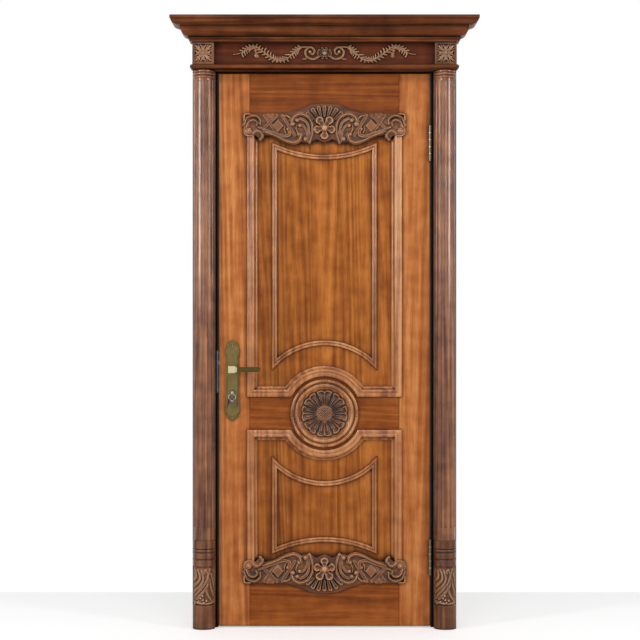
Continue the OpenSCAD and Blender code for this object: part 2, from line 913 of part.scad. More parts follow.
// At the back a plain level length closes the far end
module back_moulding(end) {
    translate([0, leaf_t, 0])
        mirror([0, 1, 0]) {
            s = mould_section();
            x0 = open_half + mould_lap;
            x1 = x0 - mould_w;
            z0 = end + mould_lap;
            z1 = z0 - mould_w;
            y0 = -mould_h - 1;
            y1 = panel_recess + 1;
            difference() {
                panel_moulding(end + mould_lap);
                both_sides()
                    xz_prism([[x0 + 9, z0 + 9], [x1 - 9, z1 - 9], [x1 - 9, z0 + 9]], y0, y1);
            }
            intersection() {
                translate([0, 0, z0])
                    mirror([0, 0, 1])
                        level_length(s, 0, 0, x0);
                translate([0, 0, mitre_gap])
                    xz_prism([[x0, z0], [x1, z1], [-x1, z1], [-x0, z0]], y0, y1);
            }
        }
}

module back_upper_moulding() {
    color(wood_mid)
        above_medallion()
            back_moulding(upper_end);
}

module back_lower_moulding() {
    color(wood_mid)
        below_medallion()
            back_moulding(lower_end);
}

// Bead around one field: upright sides, an arc beside the medallion, one beside the carving
module field_bead(end) {
    s = bead_section();
    y = panel_recess;
    c = bead_half;
    x0 = c + bead_w / 2;
    x1 = c - bead_w / 2;
    near_r = (c * c + near_rise * near_rise) / (2 * near_rise);
    near_c = boss_r + 118 - near_r;
    far_r = (c * c + far_rise * far_rise) / (2 * far_rise);
    far_c = end - 58 + far_r - far_rise;
    n0 = near_r - bead_w / 2;
    n1 = near_r + bead_w / 2;
    f0 = far_r - bead_w / 2;
    f1 = far_r + bead_w / 2;
    a0 = [x0, near_c + sqrt(n0 * n0 - x0 * x0)];
    a1 = [x1, near_c + sqrt(n1 * n1 - x1 * x1)];
    b0 = [x0, far_c - sqrt(f0 * f0 - x0 * x0)];
    b1 = [x1, far_c - sqrt(f1 * f1 - x1 * x1)];
    y0 = y - bead_h - 1;
    y1 = y + 1;
    p = a0 + 3 * (a1 - a0);
    q = b0 + 3 * (b1 - b0);
    both_sides()
        intersection() {
            upright_length(s, x0, y, a0[1], b0[1]);
            xz_prism([a0, a1, b1, b0], y0, y1);
        }
    intersection() {
        arched_length(s, near_c, n0, 1, y, 0, 180);
        xz_prism([a0, p, [-p[0], p[1]], [-a0[0], a0[1]]], y0, y1);
    }
    intersection() {
        arched_length(s, far_c, f0, 1, y, 180, 360);
        xz_prism([b0, q, [-q[0], q[1]], [-b0[0], b0[1]]], y0, y1);
    }
}

module upper_bead() {
    color(wood_mid)
        above_medallion()
            field_bead(upper_end);
}

module lower_bead() {
    color(wood_mid)
        below_medallion()
            field_bead(lower_end);
}

// Turned ring around the rosette, with short cut marks in eight places
mark_w = 2.2;
module medallion_ring() {
    r = ring_r;
    h = ring_h;
    color(wood_mid)
        translate([0, 0, medallion_z])
            difference() {
                rotate([90, 0, 0])
                    rotate_extrude($fn = 96)
                        polygon(concat([[0, 0], [r, 0]],
                            arc_points(r - 6.5, 0.35 * h, 6.5, 0.65 * h, 0, 170, 10),
                            [[r - 15, 0.3 * h], [r - 17, 0.3 * h]],
                            arc_points(r - 24, 0.35 * h, 7, 0.4 * h, 0, 170, 8),
                            [[r - 33, 0.3 * h], [0, 0.3 * h]]));
                for (a = [0:45:315], i = [-2:2])
                    rotate([0, a + 2.6 * i, 0])
                        box([-mark_w / 2, -h - 1, r - 12], [mark_w / 2, mark_w - h, r + 1]);
            }
}

// Flower of eight grooved petals round a domed button
module rosette() {
    k = petal_r / 90;
    color(wood_mid)
        translate([0, -0.3 * ring_h, medallion_z]) {
            for (a = [0:45:315])
                rotate([0, a, 0]) {
                    leaf_dome([0, 34 * k], [0, 66 * k], 13 * k, 21 * k, 8, 0);
                    rib([[-19 * k, 70 * k], [-11 * k, 82 * k], [0, 86 * k],
                        [11 * k, 82 * k], [19 * k, 70 * k]], 8 * k, 8 * k, 11, 1, 0);
                    vein([[0, 36 * k], [0, 78 * k]], 7 * k, 7 * k, 11, 1, 0);
                }
            knob([0, 0], 34 * k, 13, 0);
        }
}

// Outline of the ground behind a carving, one half, from the middle line round to it
function carving_outline() =
    [for (p = concat([[0, 92], [50, 88], [92, 70], [140, 55], [305, 54], [308, 20], [308, -18], [296, -32],
        [262, -28], [240, -48], [229, -26], [180, -34]], arc_points(118, -36, 26, 24, 330, 215, 5),
        [[60, -58], [30, -42], [0, -56]])) [p[0] * carve_scale, p[1]]];

module carving_seat(end) {
    translate([0, 0, end + carve_rise])
        xz_prism(mirrored(carving_outline()), -mould_h - 5, panel_recess + 1);
}

// Scrolls, lattice, flower and rays on a shaped ground; drawn with the flower at the origin
module carving(end) {
    front = -ground_h;
    translate([0, 0, end + carve_rise]) {
        difference() {
            xz_prism(mirrored(carving_outline()), front, panel_recess);
            box([-leaf_half, 0, -carve_rise], [leaf_half, panel_recess + 1, 200]);
            both_sides()
                box([open_half, 0, -200], [leaf_half, panel_recess + 1, 200]);
        }
        translate([0, front, 0])
            scale([carve_scale, 1, 1])
                carving_relief(scroll_h);
    }
}

module carving_relief(h) {
    knob([0, 0], 13, h * 1.25);
    leaf_dome([0, -20], [0, -32], 11, 15, h * 0.8);
    both_sides() {
        leaf_dome([13, 16], [20, 27], 10, 15, h * 0.8);
        leaf_dome([20, -6], [33, -9], 10, 14, h * 0.8);
        leaf_dome([9, 47], [14, 77], 4, 6, h * 0.9);
        leaf_dome([23, 44], [38, 71], 4, 6, h * 0.9);
        leaf_dome([40, 35], [59, 60], 4, 6, h * 0.9);
        rib([[57, -53], [46, -20], [47, 12], [66, 43], [95, 52], [117, 40], [124, 25]], 9, 14, h);
        vein([[63, -50], [58, -15], [63, 12], [75, 28], [92, 35]], 7, 10, h * 0.9);
        vein([[69, -45], [67, -18], [73, 0], [84, 10]], 6, 9, h * 0.8);
        knob([121, 15], 10, h);
        knob([104, 29], 9, h);
        knob([94, 9], 8, h * 0.9);
        knob([72, -42], 9, h);
        rib([[234, -13], [185, -30], [118, -55], [96, -45], [90, -27]], 8, 13, h);
        rib([[250, 2], [196, -19], [158, -32], [134, -26], [135, -7]], 8, 12, h * 0.9);
        knob([97, -25], 8, h * 0.9);
        knob([141, -5], 7, h * 0.8);
        rib([[227, 44], [206, 14], [185, -15]], 10, 10, h * 0.55, 1);
        rib([[181, 44], [205, 20], [229, 0]], 10, 10, h * 0.5, 1);
        rib([[158, 44], [136, 8], [113, -28]], 10, 10, h * 0.55, 1);
        knob([175, 10], 22, h * 0.75);
        knob([288, -12], 12, h * 1.1);
        vein([[268, -12], [278, -27], [298, -24], [302, -6], [292, 8]], 8, 8, h * 0.8, 2);
        vein([[274, -22], [258, -12], [243, -17], [236, -31], [244, -43]], 11, 7, h * 0.9, 2);
        vein([[297, 2], [289, 22], [271, 30], [256, 22], [258, 9]], 10, 6, h, 2);
        vein([[303, 12], [293, 38], [266, 46], [246, 33], [245, 14]], 9, 6, h, 2);
        vein([[303, 30], [302, 49], [284, 51]], 6, 5, h * 0.8, 2);
    }
}

module top_carving() {
    color([0.62, 0.4, 0.24])
        above_medallion()
            carving(upper_end);
}

module bottom_carving() {
    color([0.62, 0.4, 0.24])
        below_medallion()
            carving(lower_end);
}

// Lock and handles

module lock_case() {
    x0 = -leaf_half + forend_t;
    color(metal_steel)
        difference() {
            box([x0, lock_y - case_t / 2, case_z], [x0 + case_d, lock_y + case_t / 2, case_z + case_h]);
            box([x0 - 1, lock_y - case_t / 2 + case_wall, case_z + case_wall],
                [x0 + case_d - case_wall, lock_y + case_t / 2 - case_wall, case_z + case_h - case_wall]);
            y_rod(lever_x, lever_z, 11, 0, leaf_t);
            cylinder_outline(0, leaf_t, slide_clear);
            plate_screw_bores(screw_r + slide_clear);
        }
}

module forend() {
    color(metal_steel)
        difference() {
            box([-leaf_half, lock_y - forend_w / 2, forend_z],
                [-leaf_half + forend_t, lock_y + forend_w / 2, forend_z + forend_h]);
            bolt_bar(latch_z, 16, -leaf_half - 1, -leaf_half + 9, slide_clear);
            bolt_bar(bolt_z, 26, -leaf_half - 1, -leaf_half + 9, slide_clear);
        }
}

module bolt_bar(z, h, x0, x1, c) {
    box([x0, lock_y - bolt_t / 2 - c, z - h / 2 - c], [x1, lock_y + bolt_t / 2 + c, z + h / 2 + c]);
}

// Latch with a slope on its closing side, and its tail
module latch_bolt() {
    color(metal_steel) {
        difference() {
            bolt_bar(latch_z, 16, -leaf_half - latch_throw, -leaf_half + 18, 0);
            translate([-leaf_half - latch_throw, lock_y - bolt_t / 2 + 2.5, latch_z - 20])
                linear_extrude(40)
                    polygon([[-1, 0], [0, 0], [11, 10], [-1, 10]]);
        }
        box([-leaf_half + 17, lock_y - 4, latch_z - 5], [-leaf_half + backset - 4, lock_y, latch_z + 5]);
    }
}

module dead_bolt() {
    color(metal_steel) {
        bolt_bar(bolt_z, 26, -leaf_half, -leaf_half + 30, 0);
        box([-leaf_half + 29, lock_y - 4, bolt_z - 5], [-leaf_half + backset, lock_y, bolt_z + 5]);
    }
}

// Lock cylinder: a round barrel over a narrow web
module cylinder_outline(y0, y1, c) {
    y_rod(lever_x, cylinder_z, 8.5 + c, y0, y1);
    box([lever_x - 5 - c, y0, cylinder_z - 24 - c], [lever_x + 5 + c, y1, cylinder_z]);
}

cylinder_y = plate_t + 5;
module cylinder_body() {
    color(metal_brass)
        difference() {
            cylinder_outline(-cylinder_y, leaf_t + cylinder_y, 0);
            y_rod(lever_x, cylinder_z, 6 + run_clear, -big, big);
            y_rod(lever_x, cylinder_z, 15, lock_y - 5.5, lock_y + 5.5);
        }
}

// Handle plate: a long shield with lobed ends and a raised inner field
module plate_outline(grow) {
    h = plate_h / 2;
    w = plate_w / 2;
    translate([lever_x, plate_z]) {
        square([plate_w - 6 + 2 * grow, plate_h - 84 + 2 * grow], center = true);
        for (s = [-1, 1]) {
            translate([0, s * (h - 42)])
                circle(r = w + 1.5 + grow);
            translate([0, s * (h - 11)])
                circle(r = 11 + grow);
            for (t = [-1, 1])
                translate([t * 14, s * (h - 19)])
                    circle(r = 8 + grow);
        }
    }
}

module plate_body(y0, y1, y2) {
    difference() {
        union() {
            translate([0, y1, 0])
                rotate([90, 0, 0])
                    linear_extrude(y1 - y0)
                        plate_outline(0);
            translate([0, y0, 0])
                rotate([90, 0, 0])
                    linear_extrude(y0 - y2)
                        plate_outline(-5);
        }
        y_rod(lever_x, lever_z, 9 + run_clear, -big, big);
        cylinder_outline(-big, big, slide_clear);
        plate_screw_bores(screw_r);
    }
}

screw_inset = 30;
module plate_screw_bores(r) {
    for (s = [-1, 1])
        y_rod(lever_x, plate_z + s * (plate_h / 2 - screw_inset), r, -20, leaf_t + 20);
}

module front_plate() {
    color(metal_brass)
        plate_body(-plate_t, 0, -plate_t - 2);
}

module turned_to_back() {
    translate([0, leaf_t, 0])
        mirror([0, 1, 0])
            children();
}

module back_plate() {
    color(metal_brass)
        turned_to_back()
            plate_body(-plate_t, 0, -plate_t - 2);
}

module plate_screws() {
    y = plate_t + 2;
    color(metal_brass)
        for (s = [-1, 1]) {
            z = plate_z + s * (plate_h / 2 - screw_inset);
            y_rod(lever_x, z, screw_r, -y, leaf_t + y);
            y_rod(lever_x, z, 4, -y - 1.5, -y);
            y_rod(lever_x, z, 4, leaf_t + y, leaf_t + y + 1.5);
        }
}

spindle_w = 8;
// Lever: a round neck, a square head and a bar to the right
module lever() {
    y1 = -46;
    difference() {
        union() {
            y_rod(lever_x, lever_z, 9, y1, -0.5);
            y_rod(lever_x, lever_z, 12, y1, -plate_t - 3);
            box([lever_x - 13.5, y1 - 16, lever_z - 13], [lever_x + 13.5, y1, lever_z + 13]);
            box([lever_x, y1 - 14, lever_z - 9.5], [lever_x + lever_l - 9.5, y1 - 2, lever_z + 9.5]);
            y_rod(lever_x + lever_l - 9.5, lever_z, 9.5, y1 - 14, y1 - 2);
        }
        box([lever_x - spindle_w / 2, y1 + 8, lever_z - spindle_w / 2],
            [lever_x + spindle_w / 2, 1, lever_z + spindle_w / 2]);
    }
}

module front_lever() {
    color(metal_brass)
        lever();
}

module back_lever() {
    color(metal_brass)
        turned_to_back()
            lever();
}

// Square bar through both levers, with the follower that draws the latch
module spindle() {
    w = spindle_w / 2;
    color(metal_steel) {
        box([lever_x - w, -37, lever_z - w], [lever_x + w, leaf_t + 37, lever_z + w]);
        y_rod(lever_x, lever_z, 10, lock_y - 5, lock_y + 5);
        box([lever_x - 4, lock_y + 0.8, lever_z], [lever_x + 4, lock_y + 5, lever_z + 24]);
    }
}

// Plug with its cam, and the key that stands in it
key_y = -cylinder_y - 22;
module door_key() {
    color(metal_steel) {
        y_rod(lever_x, cylinder_z, 6, -cylinder_y - 0.4, leaf_t + cylinder_y + 0.4);
        box([lever_x - 4, lock_y - 5, cylinder_z], [lever_x + 4, lock_y + 5, cylinder_z + 13.5]);
        box([lever_x - 1.2, key_y + 6, cylinder_z - 4], [lever_x + 1.2, -cylinder_y, cylinder_z + 4]);
        difference() {
            x_rod(key_y, cylinder_z, 11, lever_x - 1.2, lever_x + 1.2);
            x_rod(key_y, cylinder_z, 3.5, lever_x - 2, lever_x + 2);
        }
    }
}

// Spare key: bow with a hole, and a flat blade
spare_l = 28;
module spare_key() {
    difference() {
        union() {
            cylinder(r = 11, h = 2, center = true);
            box([-4, -spare_l, -1], [4, -9, 1]);
        }
        translate([0, 5, 0])
            cylinder(r = 3.2, h = 4, center = true);
    }
}

// Ring through the key's bow, with two spare keys on it
ring_rad = 13;
module key_ring() {
    zc = cylinder_z - ring_rad - 2.4;
    color(metal_steel)
        translate([lever_x, key_y, zc]) {
            rotate([90, 0, 0])
                rotate_extrude($fn = 48)
                    translate([ring_rad, 0])
                        circle(r = 1, $fn = 16);
            for (s = [-1, 1])
                rotate([0, s * 40, 0])
                    translate([0, 0, -ring_rad])
                        rotate([0, -s * 30, s * 38])
                            rotate([90, 0, 90])
                                translate([0, -5, 0])
                                    spare_key();
        }
}

lock_jamb();
hinge_jamb();
head_jamb();
frame_seal();
left_casing();
right_casing();
left_column();
right_column();
left_column_base();
right_column_base();
head_fillet();
astragal();
left_corner_block();
right_corner_block();
frieze_board();
frieze_carving();
cornice_front();
cornice_left_return();
cornice_right_return();
cornice_backing();
strike_plate();
strike_screws();
top_hinge_frame_plate();
bottom_hinge_frame_plate();
hinge_pins();
hinge_washers();
hinge_frame_screws();
lock_stile();
hinge_stile();
top_rail();
lock_rail();
bottom_rail();
upper_panel();
lower_panel();
upper_moulding();
lower_moulding();
back_upper_moulding();
back_lower_moulding();
upper_bead();
lower_bead();
medallion_ring();
rosette();
top_carving();
bottom_carving();
top_hinge_leaf_plate();
bottom_hinge_leaf_plate();
hinge_leaf_screws();
lock_case();
forend();
front_plate();
back_plate();
plate_screws();
cylinder_body();
front_lever();
back_lever();
spindle();
latch_bolt();
dead_bolt();
door_key();
key_ring();
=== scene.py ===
import json
import math
import bpy
import numpy as np
from mathutils import Matrix, Vector


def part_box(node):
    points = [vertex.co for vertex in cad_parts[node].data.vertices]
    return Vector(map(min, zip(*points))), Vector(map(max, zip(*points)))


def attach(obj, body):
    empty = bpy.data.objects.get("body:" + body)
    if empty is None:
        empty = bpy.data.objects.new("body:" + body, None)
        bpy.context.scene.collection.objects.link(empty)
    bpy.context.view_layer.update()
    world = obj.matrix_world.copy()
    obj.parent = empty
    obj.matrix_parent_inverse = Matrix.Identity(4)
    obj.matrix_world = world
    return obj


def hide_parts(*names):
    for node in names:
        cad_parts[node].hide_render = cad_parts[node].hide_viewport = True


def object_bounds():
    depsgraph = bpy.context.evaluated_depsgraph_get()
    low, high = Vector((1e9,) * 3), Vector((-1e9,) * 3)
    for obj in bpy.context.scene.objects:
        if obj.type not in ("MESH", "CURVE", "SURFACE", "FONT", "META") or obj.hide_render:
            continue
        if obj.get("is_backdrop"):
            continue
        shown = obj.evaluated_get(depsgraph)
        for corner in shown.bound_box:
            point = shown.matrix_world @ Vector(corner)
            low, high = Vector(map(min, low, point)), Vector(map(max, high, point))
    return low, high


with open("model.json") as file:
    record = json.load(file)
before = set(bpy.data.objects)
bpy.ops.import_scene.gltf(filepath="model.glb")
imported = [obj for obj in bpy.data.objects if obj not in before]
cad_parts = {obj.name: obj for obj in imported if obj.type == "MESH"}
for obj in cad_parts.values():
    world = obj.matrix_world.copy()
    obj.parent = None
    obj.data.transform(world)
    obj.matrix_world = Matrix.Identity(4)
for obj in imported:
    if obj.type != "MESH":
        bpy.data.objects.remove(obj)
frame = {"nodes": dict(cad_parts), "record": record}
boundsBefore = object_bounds()
cadNodes = frame["nodes"]
print("frame loaded", len(cadNodes))


# Shader groups

def linear(red, green, blue):
    out = []
    for value in (red, green, blue):
        share = value / 255
        out.append(share / 12.92 if share <= 0.04045 else ((share + 0.055) / 1.055) ** 2.4)
    return (out[0], out[1], out[2], 1)


def place(tree, kind, **values):
    made = tree.nodes.new(kind)
    for key, value in values.items():
        setattr(made, key, value)
    return made


def feed(tree, source, target):
    tree.links.new(source, target)


def mathNode(tree, operation, first, second=None, third=None, clamp=False):
    made = place(tree, "ShaderNodeMath", operation=operation, use_clamp=clamp)
    for index, value in enumerate((first, second, third)):
        if value is None:
            continue
        if isinstance(value, (int, float)):
            made.inputs[index].default_value = value
        else:
            feed(tree, value, made.inputs[index])
    return made.outputs[0]


def mixColour(tree, factor, first, second, blend="MIX"):
    made = place(tree, "ShaderNodeMix", data_type="RGBA", blend_type=blend)
    for socket, value in ((made.inputs[0], factor), (made.inputs[6], first), (made.inputs[7], second)):
        if isinstance(value, (int, float, tuple)):
            socket.default_value = value
        else:
            feed(tree, value, socket)
    return made.outputs[2]


def noiseNode(tree, vector, scale, detail=2.0, roughness=0.5):
    made = place(tree, "ShaderNodeTexNoise")
    made.inputs["Scale"].default_value = scale
    made.inputs["Detail"].default_value = detail
    made.inputs["Roughness"].default_value = roughness
    feed(tree, vector, made.inputs["Vector"])
    return made.outputs["Fac"]


def openGroup(name, ins, outs):
    tree = bpy.data.node_groups.new(name, "ShaderNodeTree")
    for label, kind in ins:
        tree.interface.new_socket(label, in_out="INPUT", socket_type=kind)
    for label, kind in outs:
        tree.interface.new_socket(label, in_out="OUTPUT", socket_type=kind)
    return tree, tree.nodes.new("NodeGroupInput"), tree.nodes.new("NodeGroupOutput")


def buildWoodFigure():
    tree, ins, outs = openGroup(
        "woodFigure",
        [("Stretch", "NodeSocketVector"), ("Seed", "NodeSocketFloat"), ("Plank", "NodeSocketFloat")],
        [("Tone", "NodeSocketFloat"), ("Pores", "NodeSocketFloat"), ("Board", "NodeSocketFloat")])
    where = place(tree, "ShaderNodeTexCoord").outputs["Object"]
    split = place(tree, "ShaderNodeSeparateXYZ")
    feed(tree, where, split.inputs[0])
    row = mathNode(tree, "ROUND", mathNode(tree, "DIVIDE", split.outputs[0], ins.outputs["Plank"]))
    chance = place(tree, "ShaderNodeTexWhiteNoise", noise_dimensions="1D")
    feed(tree, mathNode(tree, "ADD", row, ins.outputs["Seed"]), chance.inputs["W"])
    board = chance.outputs["Value"]
    shift = mathNode(tree, "MULTIPLY_ADD", board, 3.1, ins.outputs["Seed"])
    offset = place(tree, "ShaderNodeCombineXYZ")
    for index in range(3):
        feed(tree, shift, offset.inputs[index])
    stretched = place(tree, "ShaderNodeVectorMath", operation="MULTIPLY_ADD")
    feed(tree, where, stretched.inputs[0])
    feed(tree, ins.outputs["Stretch"], stretched.inputs[1])
    feed(tree, offset.outputs[0], stretched.inputs[2])
    base = stretched.outputs[0]
    broad = noiseNode(tree, base, 9, 3)
    warp = noiseNode(tree, base, 3.2, 2)
    bent = place(tree, "ShaderNodeVectorMath", operation="ADD")
    feed(tree, base, bent.inputs[0])
    push = place(tree, "ShaderNodeCombineXYZ")
    for index in range(3):
        feed(tree, mathNode(tree, "MULTIPLY", warp, 0.25), push.inputs[index])
    feed(tree, push.outputs[0], bent.inputs[1])
    streak = noiseNode(tree, bent.outputs[0], 60, 5, 0.62)
    flow = place(tree, "ShaderNodeVectorMath", operation="DOT_PRODUCT")
    feed(tree, bent.outputs[0], flow.inputs[0])
    flow.inputs[1].default_value = (1, 1, 1)
    wander = mathNode(tree, "MULTIPLY", broad, 14)
    bands = mathNode(tree, "SINE", mathNode(tree, "MULTIPLY_ADD", flow.outputs["Value"], 150, wander))
    blotch = noiseNode(tree, where, 16, 3)
    total = mathNode(tree, "MULTIPLY_ADD", bands, 0.04, mathNode(tree, "MULTIPLY", broad, 0.32))
    total = mathNode(tree, "MULTIPLY_ADD", blotch, 0.28, total)
    feed(tree, mathNode(tree, "MULTIPLY_ADD", streak, 0.4, total, clamp=True), outs.inputs["Tone"])
    fine = noiseNode(tree, base, 380, 2)
    pores = mathNode(tree, "MULTIPLY", mathNode(tree, "SUBTRACT", fine, 0.56), 6, clamp=True)
    feed(tree, pores, outs.inputs["Pores"])
    feed(tree, board, outs.inputs["Board"])
    return tree


# Painted shade: an ambient-occlusion mask darkens recesses, corners and hollows toward a dark colour.
def buildPaintedShadeAndWear():
    tree, ins, outs = openGroup(
        "paintedShadeAndWear",
        [("Reach", "NodeSocketFloat"), ("Strength", "NodeSocketFloat")],
        [("Mask", "NodeSocketFloat"), ("WearAndHighlight", "NodeSocketFloat")])
    shade = place(tree, "ShaderNodeAmbientOcclusion", samples=6)
    feed(tree, ins.outputs["Reach"], shade.inputs["Distance"])
    hollow = mathNode(tree, "SUBTRACT", 1, shade.outputs["AO"])
    cloud = noiseNode(tree, place(tree, "ShaderNodeTexCoord").outputs["Object"], 90, 3)
    grown = mathNode(tree, "MULTIPLY", hollow, mathNode(tree, "MULTIPLY_ADD", cloud, 0.7, 0.7))
    feed(tree, mathNode(tree, "MULTIPLY", grown, ins.outputs["Strength"], clamp=True), outs.inputs["Mask"])
    # The crest attribute lightens raised ridges and high parts: partly wear, partly painted highlight.
    relief = place(tree, "ShaderNodeAttribute", attribute_name="crest")
    patchy = mathNode(tree, "MULTIPLY_ADD", cloud, 0.8, 0.5)
    feed(tree, mathNode(tree, "MULTIPLY", relief.outputs["Fac"], patchy, clamp=True), outs.inputs["WearAndHighlight"])
    return tree


woodFigure = buildWoodFigure()
paintedShadeAndWear = buildPaintedShadeAndWear()
upright = (1, 1, 0.045)
level = (0.045, 1, 1)


def blankMaterial(name):
    material = bpy.data.materials.new(name)
    material.use_nodes = True
    material.node_tree.nodes.clear()
    return material, material.node_tree


def makeWood(name, settings):
    material, tree = blankMaterial(name)
    figure = place(tree, "ShaderNodeGroup", node_tree=woodFigure)
    figure.inputs["Stretch"].default_value = settings["stretch"]
    figure.inputs["Seed"].default_value = settings["seed"]
    figure.inputs["Plank"].default_value = settings.get("plank", 9)
    ramp = place(tree, "ShaderNodeValToRGB")
    ramp.color_ramp.elements[0].position = 0.38
    ramp.color_ramp.elements[0].color = settings["dark"]
    ramp.color_ramp.elements[1].position = 0.62
    ramp.color_ramp.elements[1].color = settings["light"]
    middle = ramp.color_ramp.elements.new(0.5)
    middle.color = settings["mid"]
    feed(tree, figure.outputs["Tone"], ramp.inputs[0])
    colour = ramp.outputs[0]
    if "plank" in settings:
        spread = settings["plankSpread"]
        toned = mathNode(tree, "MULTIPLY_ADD", figure.outputs["Board"], spread, 1 - spread / 2)
        grey = place(tree, "ShaderNodeCombineColor")
        for index in range(3):
            feed(tree, toned, grey.inputs[index])
        colour = mixColour(tree, 1.0, colour, grey.outputs[0], "MULTIPLY")
    pores = mathNode(tree, "MULTIPLY", figure.outputs["Pores"], settings.get("pores", 0.25))
    colour = mixColour(tree, pores, colour, settings["dark"])
    # Painted shade darkens the recesses; ridges take a lighter colour that is partly wear and partly painted
    # highlight.
    paintedShade = place(tree, "ShaderNodeGroup", node_tree=paintedShadeAndWear)
    paintedShade.inputs["Reach"].default_value = settings.get("reach", 0.012)
    paintedShade.inputs["Strength"].default_value = settings.get("paintedShade", 0.8)
    if "wearAndHighlight" in settings:
        wearAndHighlight = mathNode(tree, "MULTIPLY", paintedShade.outputs["WearAndHighlight"], settings.get("wearAndHighlightShare", 0.8))
        colour = mixColour(tree, wearAndHighlight, colour, settings["wearAndHighlight"])
    colour = mixColour(tree, paintedShade.outputs["Mask"], colour, settings.get("glazeColour", linear(34, 17, 9)))
    shader = place(tree, "ShaderNodeBsdfPrincipled")
    feed(tree, colour, shader.inputs["Base Color"])
    shader.inputs["Roughness"].default_value = settings.get("roughness", 0.45)
    shader.inputs["Specular IOR Level"].default_value = settings.get("specular", 0.25)
    shader.inputs["Coat Weight"].default_value = settings.get("coat", 0.08)
    shader.inputs["Coat Roughness"].default_value = settings.get("coatRoughness", 0.28)
    bump = place(tree, "ShaderNodeBump")
    bump.inputs["Strength"].default_value = settings.get("bump", 0.08)
    bump.inputs["Distance"].default_value = 0.001
    feed(tree, figure.outputs["Pores"], bump.inputs["Height"])
    feed(tree, bump.outputs[0], shader.inputs["Normal"])
    target = place(tree, "ShaderNodeOutputMaterial")
    feed(tree, shader.outputs[0], target.inputs[0])
    return material


def makeMetal(name, settings):
    material, tree = blankMaterial(name)
    where = place(tree, "ShaderNodeTexCoord").outputs["Object"]
    cloud = noiseNode(tree, where, settings.get("scale", 60), 4, 0.6)
    colour = mixColour(tree, cloud, settings["dark"], settings["light"])
    if "beyond" in settings:
        split = place(tree, "ShaderNodeSeparateXYZ")
        feed(tree, where, split.inputs[0])
        past = mathNode(tree, "GREATER_THAN", split.outputs[0], settings["beyond"])
        colour = mixColour(tree, past, colour, settings["beyondColour"])
    # Painted shade darkens the metal's recesses.
    paintedShade = place(tree, "ShaderNodeGroup", node_tree=paintedShadeAndWear)
    paintedShade.inputs["Reach"].default_value = settings.get("reach", 0.004)
    paintedShade.inputs["Strength"].default_value = settings.get("paintedShade", 0.5)
    colour = mixColour(tree, paintedShade.outputs["Mask"], colour, settings.get("glazeColour", linear(40, 32, 20)))
    shader = place(tree, "ShaderNodeBsdfPrincipled")
    feed(tree, colour, shader.inputs["Base Color"])
    shader.inputs["Metallic"].default_value = settings.get("metallic", 1.0)
    shader.inputs["Specular IOR Level"].default_value = settings.get("specular", 0.5)
    shader.inputs["Roughness"].default_value = settings["roughness"]
    target = place(tree, "ShaderNodeOutputMaterial")
    feed(tree, shader.outputs[0], target.inputs[0])
    return material


# Wood tables: the recess darkening they set is painted shade; the lighter ridge colour is partly wear and
# partly painted highlight.
woods = {
    "frame_wood": {"stretch": upright, "seed": 1.0,
                   "dark": linear(84, 44, 22), "mid": linear(138, 84, 50), "light": linear(174, 116, 76),
                   "roughness": 0.17, "specular": 0.55, "coat": 0.0, "paintedShade": 1.3, "reach": 0.014},
    "frieze_wood": {"stretch": level, "seed": 2.0,
                    "dark": linear(62, 24, 8), "mid": linear(88, 38, 17), "light": linear(112, 54, 26),
                    "roughness": 0.4, "specular": 0.12, "coat": 0.0, "paintedShade": 1.3, "reach": 0.02},
    "carved_wood": {"stretch": level, "seed": 3.0,
                    "dark": linear(66, 34, 15), "mid": linear(106, 58, 28), "light": linear(138, 82, 44),
                    "wearAndHighlight": linear(208, 146, 94), "wearAndHighlightShare": 1.0, "roughness": 0.28, "specular": 0.45,
                    "coat": 0.0, "paintedShade": 3.4, "reach": 0.012, "glazeColour": linear(22, 11, 6)},
    "stile_wood": {"stretch": upright, "seed": 4.0,
                   "dark": linear(140, 76, 32), "mid": linear(178, 104, 50), "light": linear(206, 134, 76),
                   "roughness": 0.42, "specular": 0.2, "coat": 0.0, "paintedShade": 1.2,
                   "reach": 0.015, "pores": 0.55},
    "rail_wood": {"stretch": level, "seed": 5.0,
                  "dark": linear(104, 50, 16), "mid": linear(136, 70, 24), "light": linear(162, 90, 36),
                  "roughness": 0.42, "specular": 0.15, "coat": 0.0, "paintedShade": 1.2,
                  "reach": 0.015, "pores": 0.45},
    "panel_wood": {"stretch": upright, "seed": 6.0,
                   "dark": linear(112, 56, 16), "mid": linear(150, 84, 32), "light": linear(182, 110, 48),
                   "plank": 0.095, "plankSpread": 0.3, "roughness": 0.42, "specular": 0.15, "coat": 0.0,
                   "paintedShade": 1.6, "reach": 0.022, "pores": 0.5},
    "moulding_wood": {"stretch": upright, "seed": 7.0,
                      "dark": linear(134, 76, 36), "mid": linear(182, 114, 62), "light": linear(210, 146, 90),
                      "roughness": 0.2, "specular": 0.5, "coat": 0.0, "paintedShade": 2.0, "reach": 0.012},
}
carvedFrame = {"stretch": upright, "seed": 8.0,
               "dark": linear(62, 34, 17), "mid": linear(104, 61, 34), "light": linear(138, 88, 54),
               "wearAndHighlight": linear(208, 158, 114), "wearAndHighlightShare": 1.0, "roughness": 0.26, "specular": 0.4, "coat": 0.0,
               "paintedShade": 2.6, "reach": 0.008, "glazeColour": linear(22, 11, 7)}
corniceTones = {"stretch": level, "seed": 9.0,
                "dark": linear(72, 34, 14), "mid": linear(104, 54, 25), "light": linear(134, 76, 40),
                "roughness": 0.42, "specular": 0.12, "coat": 0.0, "paintedShade": 1.4, "reach": 0.02}
